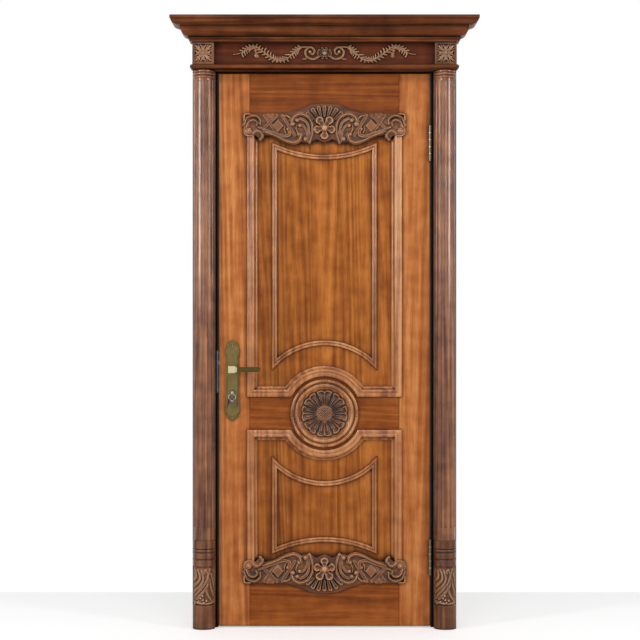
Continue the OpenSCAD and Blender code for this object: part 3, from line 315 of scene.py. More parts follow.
# Metal tables: their recess darkening is painted shade.
metals = {
    "handle_brass": {"dark": linear(96, 84, 50), "light": linear(140, 122, 78), "roughness": 0.38,
                     "paintedShade": 1.4, "reach": 0.005},
    "hinge_brass": {"dark": linear(96, 84, 66), "light": linear(138, 124, 100), "roughness": 0.4},
    "steel": {"dark": linear(150, 156, 164), "light": linear(206, 208, 212), "roughness": 0.3},
    # The seal's near-black colour stands partly for black rubber and partly for painted shade in the narrow
    # channel between leaf and casing.
    "seal_rubber": {"dark": linear(12, 8, 6), "light": linear(18, 13, 10), "roughness": 0.9,
                    "metallic": 0.0, "specular": 0.05},
}
strikeTones = {"dark": linear(70, 76, 88), "light": linear(108, 114, 126), "roughness": 0.45}
materials = {name: makeWood(name, settings) for name, settings in woods.items()}
materials.update({name: makeMetal(name, settings) for name, settings in metals.items()})
frameCarved = makeWood("carvedFrameWood", carvedFrame)
corniceWood = makeWood("corniceWood", corniceTones)
strikeSteel = makeMetal("strikeSteel", strikeTones)
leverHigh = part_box("spindle")[1]
leverTones = {"dark": linear(186, 174, 132), "light": linear(222, 212, 176), "roughness": 0.32, "paintedShade": 0.8,
              "beyond": leverHigh[0] + 0.0095, "beyondColour": linear(86, 74, 42)}
leverBrass = makeMetal("leverBrass", leverTones)
print("materials", len(materials))


# CAD pieces keep their meshes; a modifier only joins their corners for smooth shading

def buildSoftShade():
    tree = bpy.data.node_groups.new("softShade", "GeometryNodeTree")
    tree.interface.new_socket("Geometry", in_out="INPUT", socket_type="NodeSocketGeometry")
    tree.interface.new_socket("Angle", in_out="INPUT", socket_type="NodeSocketFloat")
    tree.interface.new_socket("Geometry", in_out="OUTPUT", socket_type="NodeSocketGeometry")
    ins = tree.nodes.new("NodeGroupInput")
    outs = tree.nodes.new("NodeGroupOutput")
    merged = place(tree, "GeometryNodeMergeByDistance")
    merged.inputs["Distance"].default_value = 0.00002
    faces = place(tree, "GeometryNodeSetShadeSmooth", domain="FACE")
    edges = place(tree, "GeometryNodeSetShadeSmooth", domain="EDGE")
    angle = place(tree, "GeometryNodeInputMeshEdgeAngle")
    small = place(tree, "FunctionNodeCompare", data_type="FLOAT", operation="LESS_THAN")
    feed(tree, ins.outputs[0], merged.inputs["Geometry"])
    feed(tree, merged.outputs[0], faces.inputs["Geometry"])
    feed(tree, faces.outputs[0], edges.inputs["Geometry"])
    feed(tree, angle.outputs["Unsigned Angle"], small.inputs[0])
    feed(tree, ins.outputs["Angle"], small.inputs[1])
    feed(tree, small.outputs[0], edges.inputs["Shade Smooth"])
    feed(tree, edges.outputs[0], outs.inputs[0])
    return tree


softShade = buildSoftShade()
softAngle = [item.identifier for item in softShade.interface.items_tree if item.name == "Angle"][0]
slotOf = {entry["node"]: entry["material_slot"] for entry in frame["record"]["subparts"]}
for name, piece in cadNodes.items():
    piece.data.materials.clear()
    chosen = materials[slotOf[name]]
    if name in ("front_lever", "back_lever"):
        chosen = leverBrass
    if name == "strike_plate":
        chosen = strikeSteel
    if name.startswith("cornice") or name in ("astragal", "head_fillet"):
        chosen = corniceWood
    piece.data.materials.append(chosen)
    smooth = piece.modifiers.new("softShade", "NODES")
    smooth.node_group = softShade
    smooth[softAngle] = math.radians(32)
print("CAD pieces dressed")


# Carved reliefs, worked out as height fields in millimetres

def curveThrough(points, steps):
    points = np.array(points, float)
    if len(points) == 2:
        share = np.linspace(0, 1, steps + 1)[:, None]
        return points[0] * (1 - share) + points[1] * share
    out = []
    count = len(points)
    for index in range(count - 1):
        a, b = points[max(index - 1, 0)], points[index]
        c, d = points[index + 1], points[min(index + 2, count - 1)]
        for step in range(steps):
            t = step / steps
            square = (2 * a - 5 * b + 4 * c - d) * t * t
            cube = (3 * b - a - 3 * c + d) * t ** 3
            out.append(0.5 * (2 * b + (c - a) * t + square + cube))
    out.append(points[-1])
    return np.array(out)


def openField(low, high, step):
    xs = np.arange(low[0], high[0] + step, step)
    zs = np.arange(low[1], high[1] + step, step)
    gridX, gridZ = np.meshgrid(xs, zs)
    return {"x": gridX, "z": gridZ, "h": np.zeros_like(gridX), "f": np.full_like(gridX, -30.0), "step": step}


def windowOf(field, points, margin):
    xs, zs = field["x"][0], field["z"][:, 0]
    i0, i1 = np.searchsorted(xs, [points[:, 0].min() - margin, points[:, 0].max() + margin])
    j0, j1 = np.searchsorted(zs, [points[:, 1].min() - margin, points[:, 1].max() + margin])
    return slice(max(j0, 0), j1), slice(max(i0, 0), i1)


def across(shape, q):
    inner = np.clip(q, 0, 1)
    if shape == "sharp":
        return np.clip(1 - inner, 0, 1) ** 0.8
    if shape == "strap":
        return np.clip((1 - inner) * 3.5, 0, 1)
    if shape == "dish":
        rise = 0.42 + 0.58 * (inner / 0.72) ** 2
        fall = np.sqrt(np.clip(1 - ((inner - 0.72) / 0.28) ** 2, 0, 1))
        return np.where(inner < 0.72, rise, fall)
    return np.sqrt(np.clip(1 - inner * inner, 0, 1))


def addStroke(field, points, w0, w1, h, shape="round", grooves=0, depth=0.35, steps=7, base=0.0):
    path = curveThrough(points, steps)
    rows, cols = windowOf(field, path, max(w0, w1) / 2 + 2)
    gx, gz = field["x"][rows, cols], field["z"][rows, cols]
    if gx.size == 0:
        return
    best = np.full(gx.shape, 1e9)
    along = np.zeros(gx.shape)
    side = np.zeros(gx.shape)
    lengths = np.linalg.norm(np.diff(path, axis=0), axis=1)
    total = lengths.sum()
    passed = 0.0
    for index in range(len(path) - 1):
        start, run = path[index], path[index + 1] - path[index]
        size = max(lengths[index], 1e-9)
        t = np.clip(((gx - start[0]) * run[0] + (gz - start[1]) * run[1]) / (size * size), 0, 1)
        dx, dz = gx - start[0] - t * run[0], gz - start[1] - t * run[1]
        distance = np.hypot(dx, dz)
        nearer = distance < best
        best = np.where(nearer, distance, best)
        along = np.where(nearer, (passed + t * size) / total, along)
        side = np.where(nearer, np.sign(run[0] * dz - run[1] * dx) * distance, side)
        passed += size
    width = w0 + (w1 - w0) * along
    q = 2 * best / width
    body = across(shape, q)
    if grooves:
        body = body * (1 - depth * (0.5 - 0.5 * np.cos(2 * math.pi * grooves * (side / width + 0.5))))
    height = (base + h * (0.82 + 0.18 * np.sin(math.pi * along)) * body) * (q < 1)
    field["h"][rows, cols] = np.maximum(field["h"][rows, cols], height)
    field["f"][rows, cols] = np.maximum(field["f"][rows, cols], width / 2 - best)


def addBall(field, centre, r, h, rings=0):
    rows, cols = windowOf(field, np.array([centre], float), r + 2)
    distance = np.hypot(field["x"][rows, cols] - centre[0], field["z"][rows, cols] - centre[1])
    q = distance / r
    height = h * np.sqrt(np.clip(1 - q * q, 0, 1))
    if rings:
        height = height * (1 - 0.3 * (0.5 - 0.5 * np.cos(2 * math.pi * rings * q)))
    field["h"][rows, cols] = np.maximum(field["h"][rows, cols], height)
    field["f"][rows, cols] = np.maximum(field["f"][rows, cols], r - distance)


def addDiamond(field, centre, wide, tall, h):
    q = np.abs(field["x"] - centre[0]) / wide + np.abs(field["z"] - centre[1]) / tall
    field["h"] = np.maximum(field["h"], h * np.clip((1 - q) * 4, 0, 1))


def addGround(field, outline):
    gx, gz = field["x"], field["z"]
    best = np.full(gx.shape, 1e9)
    odd = np.zeros(gx.shape, bool)
    for (x0, z0), (x1, z1) in zip(outline, outline[1:] + outline[:1]):
        run = np.array([x1 - x0, z1 - z0], float)
        size = run @ run
        t = np.clip(((gx - x0) * run[0] + (gz - z0) * run[1]) / max(size, 1e-9), 0, 1)
        best = np.minimum(best, np.hypot(gx - x0 - t * run[0], gz - z0 - t * run[1]))
        if z0 != z1:
            odd ^= ((z0 > gz) != (z1 > gz)) & (gx < (x1 - x0) * (gz - z0) / (z1 - z0) + x0)
    field["f"] = np.maximum(field["f"], np.where(odd, best, -best))


def blurred(grid, reach):
    size = 2 * reach + 1
    out = grid
    for axis in (0, 1):
        pad = [(0, 0), (0, 0)]
        pad[axis] = (reach + 1, reach)
        total = np.cumsum(np.pad(out, pad, mode="edge"), axis=axis)
        if axis == 0:
            out = (total[size:] - total[:-size]) / size
        else:
            out = (total[:, size:] - total[:, :-size]) / size
    return out


def reliefMesh(name, field, front, back, put, flip=False, crestHeight=8.0, lift=0.95, closing=()):
    gx, gz, edge = field["x"], field["z"], field["f"]
    step = field["step"]
    keep = edge > -0.3 * step
    cells = keep[:-1, :-1] & keep[1:, :-1] & keep[:-1, 1:] & keep[1:, 1:]
    rows, cols = np.nonzero(cells)
    wide = gx.shape[1]
    first = rows * wide + cols
    quads = np.stack([first, first + 1, first + wide + 1, first + wide], 1)
    touched = np.zeros(gx.size, int)
    np.add.at(touched, quads.ravel(), 1)
    slopeZ, slopeX = np.gradient(edge, step)
    size = slopeX ** 2 + slopeZ ** 2 + 1e-6
    rim = (touched.reshape(gx.shape) > 0) & (touched.reshape(gx.shape) < 4)
    move = np.clip(edge / size, -0.8 * step, 0.8 * step) * rim
    px = (gx - slopeX * move).ravel()
    pz = (gz - slopeZ * move).ravel()
    soft = 0.35 * field["h"] + 0.65 * blurred(field["h"], 1)
    # crest marks ridges and high parts that take a lighter colour: partly wear, partly painted highlight.
    ridge = (soft - blurred(soft, 4)) / (0.3 * crestHeight)
    crest = np.clip(0.9 * ridge + lift * (soft / crestHeight - 0.32), 0, 1)
    if "plain" in field:
        crest = np.where(field["plain"], 0, crest)
    crest = crest.ravel()
    used = np.nonzero(touched)[0]
    number = np.full(gx.size, -1)
    number[used] = np.arange(len(used))
    height = front + soft.ravel()[used]
    top = [put(x, h, z) for x, h, z in zip(px[used], height, pz[used])]
    faces = number[quads].tolist()
    sides = np.concatenate([quads[:, [0, 1]], quads[:, [1, 2]], quads[:, [2, 3]], quads[:, [3, 0]]])
    keys = np.sort(sides, 1)
    codes = keys[:, 0].astype(np.int64) * gx.size + keys[:, 1]
    found = np.unique(codes, return_index=True, return_counts=True)
    border = sides[found[1][found[2] == 1]]
    low = {}
    points = list(top)
    crests = crest[used].tolist()
    for index in np.unique(border):
        low[index] = len(points)
        points.append(put(px[index], back(px[index], pz[index]), pz[index]))
        crests.append(0.0)
    for a, b in border:
        faces.append([number[b], number[a], low[a], low[b]])
    if closing:
        faces.append(list(range(len(points), len(points) + len(closing))))
        points.extend(closing)
        crests.extend([0.0] * len(closing))
    if flip:
        faces = [face[::-1] for face in faces]
    mesh = bpy.data.meshes.new(name)
    mesh.from_pydata(points, [], faces)
    shown = mesh.attributes.new("crest", "FLOAT", "POINT")
    shown.data.foreach_set("value", crests)
    mesh.polygons.foreach_set("use_smooth", [True] * len(mesh.polygons))
    mesh.update()
    mesh.set_sharp_from_angle(angle=math.radians(50))
    piece = bpy.data.objects.new(name, mesh)
    bpy.context.collection.objects.link(piece)
    return piece


def finishPiece(piece, body, slot, *replaced, material=None):
    piece.data.materials.clear()
    piece.data.materials.append(material or materials[slot])
    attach(piece, body)
    if replaced:
        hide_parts(*replaced)
    return piece


carving = {
    "step": 1.25, "ground": 9.0, "high": 10.0, "half": 308, "peak": 92,
    "outline": [(0, 92), (50, 88), (92, 70), (140, 55), (305, 54), (308, 20), (308, -18), (296, -32),
                (262, -28), (240, -48), (229, -26), (180, -34), (140, -48), (118, -60), (97, -50),
                (60, -58), (30, -42), (0, -56)],
}


def carvingField():
    h = carving["high"]
    field = openField((-316, -68), (316, 98), carving["step"])
    half = carving["outline"]
    addGround(field, half + [(-x, z) for x, z in half[::-1] if x > 0])
    strokes = [
        ([(57, -55), (46, -20), (45, 5), (55, 32), (75, 48), (95, 52), (115, 42), (124, 25)], 10, 16, 1.0, 2),
        ([(63, -50), (58, -15), (63, 12), (75, 28), (92, 35)], 8, 12, 0.9, 1),
        ([(69, -45), (67, -18), (73, 0), (84, 10)], 7, 10, 0.8, 1),
        ([(234, -13), (185, -30), (150, -47), (118, -56), (96, -46), (90, -27)], 8, 15, 1.0, 2),
        ([(250, 2), (196, -19), (158, -32), (134, -26), (135, -7)], 8, 13, 0.9, 1),
        ([(268, -12), (278, -27), (298, -24), (302, -6), (292, 8)], 11, 10, 0.9, 1),
        ([(274, -22), (258, -12), (243, -17), (236, -31), (244, -44)], 16, 10, 1.0, 2),
        ([(297, 2), (289, 22), (271, 30), (256, 22), (258, 9)], 15, 9, 1.0, 2),
        ([(303, 12), (293, 38), (266, 46), (246, 33), (245, 14)], 14, 9, 1.0, 2),
        ([(304, 28), (303, 49), (282, 52)], 7, 5, 0.8, 0),
        ([(124, 30), (140, 44), (160, 46)], 7, 4, 0.6, 0),
        ([(100, -20), (108, -2), (104, 14)], 6, 4, 0.5, 0),
        ([(146, -20), (152, -6), (150, 8)], 6, 4, 0.5, 0),
    ]
    straps = [[(227, 46), (185, -15)], [(181, 46), (229, 0)], [(160, 46), (113, -28)]]
    balls = [((121, 15), 10, 1.0), ((104, 29), 9, 0.95), ((94, 9), 8, 0.9), ((72, -42), 9, 1.0),
             ((97, -25), 8, 0.9), ((141, -5), 7, 0.8), ((288, -12), 13, 1.1)]
    for sign in (1, -1):
        turn = lambda points: [(sign * x, z) for x, z in points]
        for strap in straps:
            addStroke(field, turn(strap), 16, 16, h * 0.5, "strap", grooves=1, depth=0.3)
        addDiamond(field, (sign * 177, 8), 27, 30, h * 0.5)
        addDiamond(field, (sign * 206, 50), 20, 22, h * 0.45)
        for points, w0, w1, share, grooves in strokes:
            addStroke(field, turn(points), w0 * 1.25, w1 * 1.2, h * share, "round", grooves=grooves, depth=0.5)
        for centre, r, share in balls:
            addBall(field, (sign * centre[0], centre[1]), r, h * share, 1)
        for root, tip in (((10, 15), (18, 27)), ((17, -4), (26, -6))):
            addStroke(field, turn([root, tip]), 22, 34, h * 1.05, "dish", steps=3)
    for index in range(-3, 4):
        angle = math.radians(16.5 * index)
        near, far = 45, 76 + 2.2 * abs(index)
        root = (near * math.sin(angle), near * math.cos(angle))
        tip = (far * math.sin(angle), far * math.cos(angle))
        addStroke(field, [root, tip], 9, 18, h * 0.8, "dish", steps=3)
    addStroke(field, [(0, -18), (0, -28)], 22, 34, h * 1.05, "dish", steps=3)
    addBall(field, (0, 0), 14, h * 1.35)
    return field


sharedField = carvingField()
for name, way in (("top_carving", 1), ("bottom_carving", -1)):
    low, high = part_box(name)
    middle = high[2] - carving["peak"] / 1000 if way > 0 else low[2] + carving["peak"] / 1000
    put = lambda x, h, z, middle=middle, way=way: (x / 1000, -h / 1000, middle + way * z / 1000)
    seat = lambda x, z: 0.0 if (abs(x) > 285 or z > -11) else -10.0
    piece = reliefMesh("carved" + name.split("_")[0].title(), sharedField, carving["ground"], seat, put,
                       flip=way < 0, crestHeight=carving["high"])
    finishPiece(piece, "leaf", "carved_wood", name)
print("leaf carvings")

garland = {"step": 1.1, "high": 11.0, "centreShare": 0.53}


def friezeField():
    h = garland["high"]
    field = openField((-350, -36), (350, 36), garland["step"])
    for sign in (1, -1):
        turn = lambda points: [(sign * x, z) for x, z in points]
        stem = [(56, 23), (88, 22), (112, 8), (140, -20), (171, -29), (205, -16), (236, 8), (262, 25),
                (292, 18), (318, 0), (344, -5)]
        route = curveThrough(stem, 8)
        leaves = []
        for index in range(8, len(route) - 10, 3):
            along = route[index + 1] - route[index - 1]
            along = along / np.linalg.norm(along)
            inward = -1 if route[index][1] > 0 else 1
            for way, size in ((inward, 17), (-inward, 10)):
                lean = 0.9 * along + way * np.array([-along[1], along[0]]) * (1 if along[0] > 0 else -1)
                tip = route[index] + lean * size
                leaves.append((tuple(route[index]), (float(tip[0]), float(np.clip(tip[1], -34, 34)))))
        for root, tip in leaves:
            middle = ((root[0] + tip[0]) / 2 + 5, (root[1] + tip[1]) / 2)
            addStroke(field, turn([root, middle, tip]), 12, 8, h * 0.8, "round")
        addStroke(field, turn([(62, -14), (72, -22), (84, -22)]), 11, 5, h * 0.6, "round", grooves=1)
        addStroke(field, turn(stem), 8, 4, h * 0.85, "round")
        scroll = [(16, -8), (40, -22), (66, -14), (72, 8), (54, 23), (38, 10), (46, -4), (57, 4)]
        addStroke(field, turn(scroll), 10, 8, h * 0.95, "round", grooves=1, depth=0.4)
        addBall(field, (sign * 55, 5), 7, h)
        addStroke(field, turn([(262, 18), (259, 2), (257, -11)]), 8, 16, h * 0.85, "round", grooves=2)
    addStroke(field, [(-14, 0), (14, 0)], 32, 32, h * 0.6, "dish")
    for turn in range(10):
        angle = math.radians(36 * turn)
        root = (12 * math.cos(angle), 9 * math.sin(angle))
        tip = (24 * math.cos(angle), 19 * math.sin(angle))
        addStroke(field, [root, tip], 7, 9, h * 0.85, "dish", steps=3)
    addBall(field, (0, 0), 11, h * 1.08)
    return field


blockLow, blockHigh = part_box("frieze_board")
friezeFront = blockLow[1]
friezeMiddle = blockLow[2] + garland["centreShare"] * (blockHigh[2] - blockLow[2])
put = lambda x, h, z: (x / 1000, friezeFront - h / 1000, friezeMiddle + z / 1000)
piece = reliefMesh("friezeGarland", friezeField(), 0.3, lambda x, z: 0.0, put,
                   crestHeight=1.4 * garland["high"])
finishPiece(piece, "frame", "carved_wood", "frieze_carving", material=frameCarved)
print("frieze carving")

block = {"step": 0.9, "high": 9.0, "deep": -61.0}


def blockField(w, h):
    field = openField((-w / 2, -h / 2), (w / 2, h / 2), block["step"])
    addGround(field, [(-w / 2, -h / 2), (w / 2, -h / 2), (w / 2, h / 2), (-w / 2, h / 2)])
    edge = np.maximum(np.abs(field["x"]) - w / 2, np.abs(field["z"]) - h / 2) + 10.0
    field["h"] = np.where(edge > 0, 4.0, 0.0)
    field["plain"] = edge > -1.5
    for quarter in range(4):
        angle = math.radians(45 + 90 * quarter)
        c, s = math.cos(angle), math.sin(angle)
        spin = lambda points: [(u * c - v * s, u * s + v * c) for u, v in points]
        addStroke(field, spin([(8, 0), (22, 0), (38, 0)]), 14, 8, block["high"], "round", grooves=1, depth=0.4)
        for way in (1, -1):
            leaf = [(9, way * 4), (19, way * 12), (28, way * 14)]
            addStroke(field, spin(leaf), 9, 6, block["high"] * 0.75, "round", grooves=1)
            addStroke(field, spin([(22, way * 4), (30, way * 8), (36, way * 8)]), 6, 4, block["high"] * 0.65)
        turned = math.radians(90 * quarter)
        c, s = math.cos(turned), math.sin(turned)
        spin = lambda points: [(u * c - v * s, u * s + v * c) for u, v in points]
        addStroke(field, spin([(8, 0), (25, 0)]), 10, 7, block["high"] * 0.7, "round")
    addBall(field, (0, 0), 9, block["high"] * 1.05, 1)
    return field


for name in ("left_corner_block", "right_corner_block"):
    low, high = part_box(name)
    blockCentre = ((low[0] + high[0]) / 2, (low[2] + high[2]) / 2)
    wide, tall = (high[0] - low[0]) * 1000, (high[2] - low[2]) * 1000
    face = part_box("cornice_backing")[0][1]
    put = lambda x, h, z: (blockCentre[0] + x / 1000, face + 0.003 - h / 1000, blockCentre[1] + z / 1000)
    rear = [put(x * wide / 2, block["deep"], z * tall / 2) for x, z in ((-1, -1), (-1, 1), (1, 1), (1, -1))]
    seat = lambda x, z: block["deep"]
    piece = reliefMesh(name.split("_")[0] + "Block", blockField(wide, tall), 0.0, seat, put,
                       crestHeight=block["high"], closing=rear)
    finishPiece(piece, "frame", "frame_wood", name, material=frameCarved)
print("corner blocks")

foot = {"step": 1.2, "r": 42.5, "ground": 5.0, "tall": 335.0}


def footField():
    r = foot["r"]
    arc = math.pi * r / 2
    field = openField((-arc, 0), (arc, foot["tall"]), foot["step"])
    field["x"] = field["x"] * (arc / np.abs(field["x"]).max())
    field["z"] = field["z"] * (foot["tall"] / field["z"].max())
    field["f"][:] = 5.0
    z = field["z"]
    bands = [(0, 92, 5.0), (237, 261.5, 4.6), (266.5, 288, 4.6), (304, 335.1, 4.6)]
    level = np.zeros_like(z)
    for low, high, tall in bands:
        level = np.maximum(level, np.where((z >= low) & (z <= high), tall, 0))
    roll = 1.2 + 3.2 * np.sqrt(np.clip(1 - ((z - 296.5) / 5.5) ** 2, 0, 1))
    level = np.maximum(level, np.where((z > 288) & (z < 304), roll, 0))
    level = np.maximum(level, np.where((z > 261) & (z < 267), 1.5, 0))
    field["h"] = level
    field["plain"] = (z < 94) | (z > 233)
    top = 5.4
    wrap = lambda points: [(r * math.asin(x / r), v) for x, v in points]
    leftLeaf = [
        [(-38, 118), (-10, 154), (14, 183), (20, 204), (27, 228)],
        [(-27, 116), (0, 143), (17, 167), (23, 196)],
        [(-37, 142), (-14, 164), (0, 190), (-8, 222)],
        [(-37, 164), (-19, 183), (-14, 202), (-23, 226)],
        [(-40, 185), (-30, 198), (-31, 222)],
    ]
    rightLeaf = [
        [(9, 158), (19, 130), (35, 104)],
        [(26, 188), (31, 157), (39, 128)],
        [(32, 208), (37, 183), (41, 157)],
        [(4, 214), (10, 226), (17, 212)],
    ]
    for points in leftLeaf:
        addStroke(field, wrap(points), 13, 7, top, "round", grooves=1, depth=0.45)
    for points in rightLeaf:
        addStroke(field, wrap(points), 11, 6, top, "round", grooves=1, depth=0.45)
    addStroke(field, wrap([(-40, 106), (-14, 99), (18, 97), (38, 102)]), 9, 7, top * 0.9, "round", grooves=1)
    for x, v in ((-11, 119), (-2, 112), (-4, 128), (12, 109), (-22, 104), (-34, 97), (3, 102)):
        addBall(field, wrap([(x, v)])[0], 5, top)
    for sign in (1, -1):
        turn = lambda points: [(sign * x, v) for x, v in points]
        for low in (100, 130, 160, 190):
            lobe = [(58, low), (62, low + 18), (55, low + 34)]
            addStroke(field, turn(lobe), 10, 5, top * 0.8, "round", grooves=1)
    return field


sharedFoot = footField()
for name in ("left_column_base", "right_column_base"):
    low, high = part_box(name)
    centre = (low[0] + high[0]) / 2
    seatY = high[1]
    r = foot["r"]

    def put(u, h, z, centre=centre, seatY=seatY):
        angle = u / r
        out = (r - foot["ground"] + h) / 1000
        return (centre + out * math.sin(angle), min(seatY, seatY - out * math.cos(angle)), z / 1000)

    piece = reliefMesh(name.split("_")[0] + "Foot", sharedFoot, 0.0, lambda x, z: -20.0, put,
                       crestHeight=6.0, lift=0.7)
    finishPiece(piece, "frame", "frame_wood", name, material=frameCarved)
print("column bases")


# Repeated pieces are set around a centre by one node tree

def buildAround():
    tree = bpy.data.node_groups.new("setAround", "GeometryNodeTree")
    inputs = (("Geometry", "NodeSocketGeometry"), ("Count", "NodeSocketInt"),
              ("Material", "NodeSocketMaterial"))
    for label, kind in inputs:
        tree.interface.new_socket(label, in_out="INPUT", socket_type=kind)
    tree.interface.new_socket("Geometry", in_out="OUTPUT", socket_type="NodeSocketGeometry")
    ins = tree.nodes.new("NodeGroupInput")
    outs = tree.nodes.new("NodeGroupOutput")
    spots = place(tree, "GeometryNodePoints")
    feed(tree, ins.outputs["Count"], spots.inputs["Count"])
    number = place(tree, "GeometryNodeInputIndex")
    share = place(tree, "ShaderNodeMath", operation="DIVIDE")
    feed(tree, number.outputs[0], share.inputs[0])
    feed(tree, ins.outputs["Count"], share.inputs[1])
    turn = place(tree, "ShaderNodeMath", operation="MULTIPLY")
    feed(tree, share.outputs[0], turn.inputs[0])
    turn.inputs[1].default_value = 2 * math.pi
    euler = place(tree, "ShaderNodeCombineXYZ")
    feed(tree, turn.outputs[0], euler.inputs["Y"])
    spin = place(tree, "FunctionNodeEulerToRotation")
    feed(tree, euler.outputs[0], spin.inputs[0])
    copies = place(tree, "GeometryNodeInstanceOnPoints")
    feed(tree, spots.outputs[0], copies.inputs["Points"])
    feed(tree, ins.outputs["Geometry"], copies.inputs["Instance"])
    feed(tree, spin.outputs[0], copies.inputs["Rotation"])
    real = place(tree, "GeometryNodeRealizeInstances")
    feed(tree, copies.outputs[0], real.inputs[0])
    dress = place(tree, "GeometryNodeSetMaterial")
    feed(tree, real.outputs[0], dress.inputs["Geometry"])
    feed(tree, ins.outputs["Material"], dress.inputs["Material"])
    feed(tree, dress.outputs[0], outs.inputs[0])
    return tree


setAround = buildAround()
aroundIds = {item.name: item.identifier for item in setAround.interface.items_tree if item.in_out == "INPUT"}


def around(name, mesh, count, slot, centre):
    seed = bpy.data.objects.new(name, mesh)
    bpy.context.collection.objects.link(seed)
    modifier = seed.modifiers.new("setAround", "NODES")
    modifier.node_group = setAround
    modifier[aroundIds["Count"]] = count
    modifier[aroundIds["Material"]] = materials[slot]
    seed.update_tag()
    bpy.context.view_layer.update()
    solid = bpy.data.meshes.new_from_object(seed.evaluated_get(bpy.context.evaluated_depsgraph_get()))
    seed.modifiers.remove(modifier)
    solid.transform(Matrix.Translation(Vector(centre)))
    seed.data = solid
    return seed


def sheetMesh(name, points, rows, cols, crests):
    faces = []
    for j in range(rows - 1):
        for i in range(cols - 1):
            a = j * cols + i
            faces.append((a, a + 1, a + cols + 1, a + cols))
    mesh = bpy.data.meshes.new(name)
    mesh.from_pydata(points, [], faces)
    shown = mesh.attributes.new("crest", "FLOAT", "POINT")
    shown.data.foreach_set("value", crests)
    mesh.polygons.foreach_set("use_smooth", [True] * len(mesh.polygons))
    mesh.update()
    return mesh


petal = {"inner": 28.0, "outer": 89.0, "rows": 60, "cols": 45, "rise": 13.0, "count": 8, "spread": 21.6}


def petalMesh():
    points, crests = [], []
    rows, cols = petal["rows"], petal["cols"]
    for j in range(rows):
        v = j / (rows - 1)
        for i in range(cols):
            u = 2 * i / (cols - 1) - 1
            reach = petal["outer"] - 5 * math.exp(-(u / 0.22) ** 2) - 6 * abs(u) ** 6
            r = petal["inner"] + (reach - petal["inner"]) * v
            waist = 1 - 0.12 * math.exp(-((v - 0.72) / 0.1) ** 2)
            width = math.radians(petal["spread"]) * (0.72 + 0.28 * min(1, v * 1.6)) * waist
            angle = u * width
            flutes = 0.5 + 0.5 * math.cos(u * math.pi * 4)
            curl = math.exp(-((v - 0.94) / 0.05) ** 2)
            edge = math.exp(-((abs(u) - 0.82) / 0.13) ** 2)
            hole = math.exp(-((v - 0.78) / 0.09) ** 2) * math.exp(-((abs(u) - 0.45) / 0.2) ** 2)
            ribs = 0.26 * flutes * min(1, v * 4) * (1 - curl)
            body = 0.38 + 0.22 * v + ribs + 0.42 * curl + 0.22 * edge * v - 0.34 * hole
            end = math.sqrt(max(0, 1 - max(0, (v - 0.95) / 0.05) ** 2))
            side = math.sqrt(max(0, 1 - max(0, (abs(u) - 0.88) / 0.12) ** 2))
            share = max(0.0, body) * end * side
            rise = petal["rise"] * share
            points.append((r * math.sin(angle) / 1000, -rise / 1000, r * math.cos(angle) / 1000))
            # Painted highlight on the curl, edges and flutes and none in the holes; the lighter colour also
            # stands for wear.
            bright = 0.95 * curl + 0.6 * edge * v + 0.5 * flutes * (1 - curl) - 0.25 - 0.8 * hole
            crests.append(min(1, max(0, bright)))
    return sheetMesh("petal", points, rows, cols, crests)


def buttonMesh():
    points, crests = [], []
    rows, cols = 44, 145
    for j in range(rows):
        q = j / (rows - 1)
        for i in range(cols):
            angle = 2 * math.pi * i / (cols - 1)
            r = 34 * (1 - q)
            x, z = r * math.sin(angle), r * math.cos(angle)
            cross = 0.5 + 0.34 * math.cos((x + z) * 0.72) + 0.16 * math.cos((x - z) * 0.5)
            height = 14.5 * math.sqrt(max(0, 1 - (r / 34) ** 2)) * (0.78 + 0.22 * cross)
            points.append((x / 1000, -height / 1000, z / 1000))
            # Painted highlight, partly wear, on the raised parts of the cross pattern.
            crests.append(min(1, max(0, 1.5 * cross - 0.55)))
    return sheetMesh("button", points, rows, cols, crests)


low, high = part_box("rosette")
medallionZ = (low[2] + high[2]) / 2
rosetteSeat = high[1]
petals = around("rosettePetals", petalMesh(), petal["count"], "carved_wood", (0, rosetteSeat, medallionZ))
finishPiece(petals, "leaf", "carved_wood", "rosette")
button = bpy.data.objects.new("rosetteButton", buttonMesh())
bpy.context.collection.objects.link(button)
button.data.transform(Matrix.Translation(Vector((0, rosetteSeat, medallionZ))))
finishPiece(button, "leaf", "carved_wood")

print("rosette")


plateOrnament = {"step": 0.5, "high": 2.2, "seat": 0.0019}


def plateField():
    field = openField((-27, -154), (27, 154), plateOrnament["step"])
    h = plateOrnament["high"]
    for end in (1, -1):
        spin = lambda points: [(u, end * v) for u, v in points]
        addStroke(field, spin([(0, 112), (0, 130), (0, 149)]), 9, 4, h, "round", grooves=2)
        for way in (1, -1):
            turn = lambda points: [(way * u, end * v) for u, v in points]
            addStroke(field, turn([(3, 114), (9, 132), (5, 144)]), 6, 3, h * 0.8, "round", grooves=1)
            addStroke(field, turn([(4, 110), (15, 124), (12, 137)]), 7, 3, h * 0.9, "round", grooves=1)
            addStroke(field, turn([(6, 108), (20, 112), (23, 122), (17, 127)]), 6, 3.4, h, "round", grooves=1)
            addStroke(field, turn([(23, 118), (24, 100), (22, 86)]), 3, 2, h * 0.6)
            addBall(field, (way * 18, end * 119), 3, h)
        addStroke(field, spin([(-21, 98), (-12, 109), (0, 112), (12, 109), (21, 98)]), 3, 3, h * 0.6)
    for index in range(6):
        angle = math.radians(60 * index)
        root = (3 * math.cos(angle), 88 + 3 * math.sin(angle))
        tip = (12 * math.cos(angle), 88 + 12 * math.sin(angle))
        addStroke(field, [root, tip], 3, 6, h * 0.4, "dish", steps=3)
    addBall(field, (0, 88), 3.4, h * 0.5)
    return field


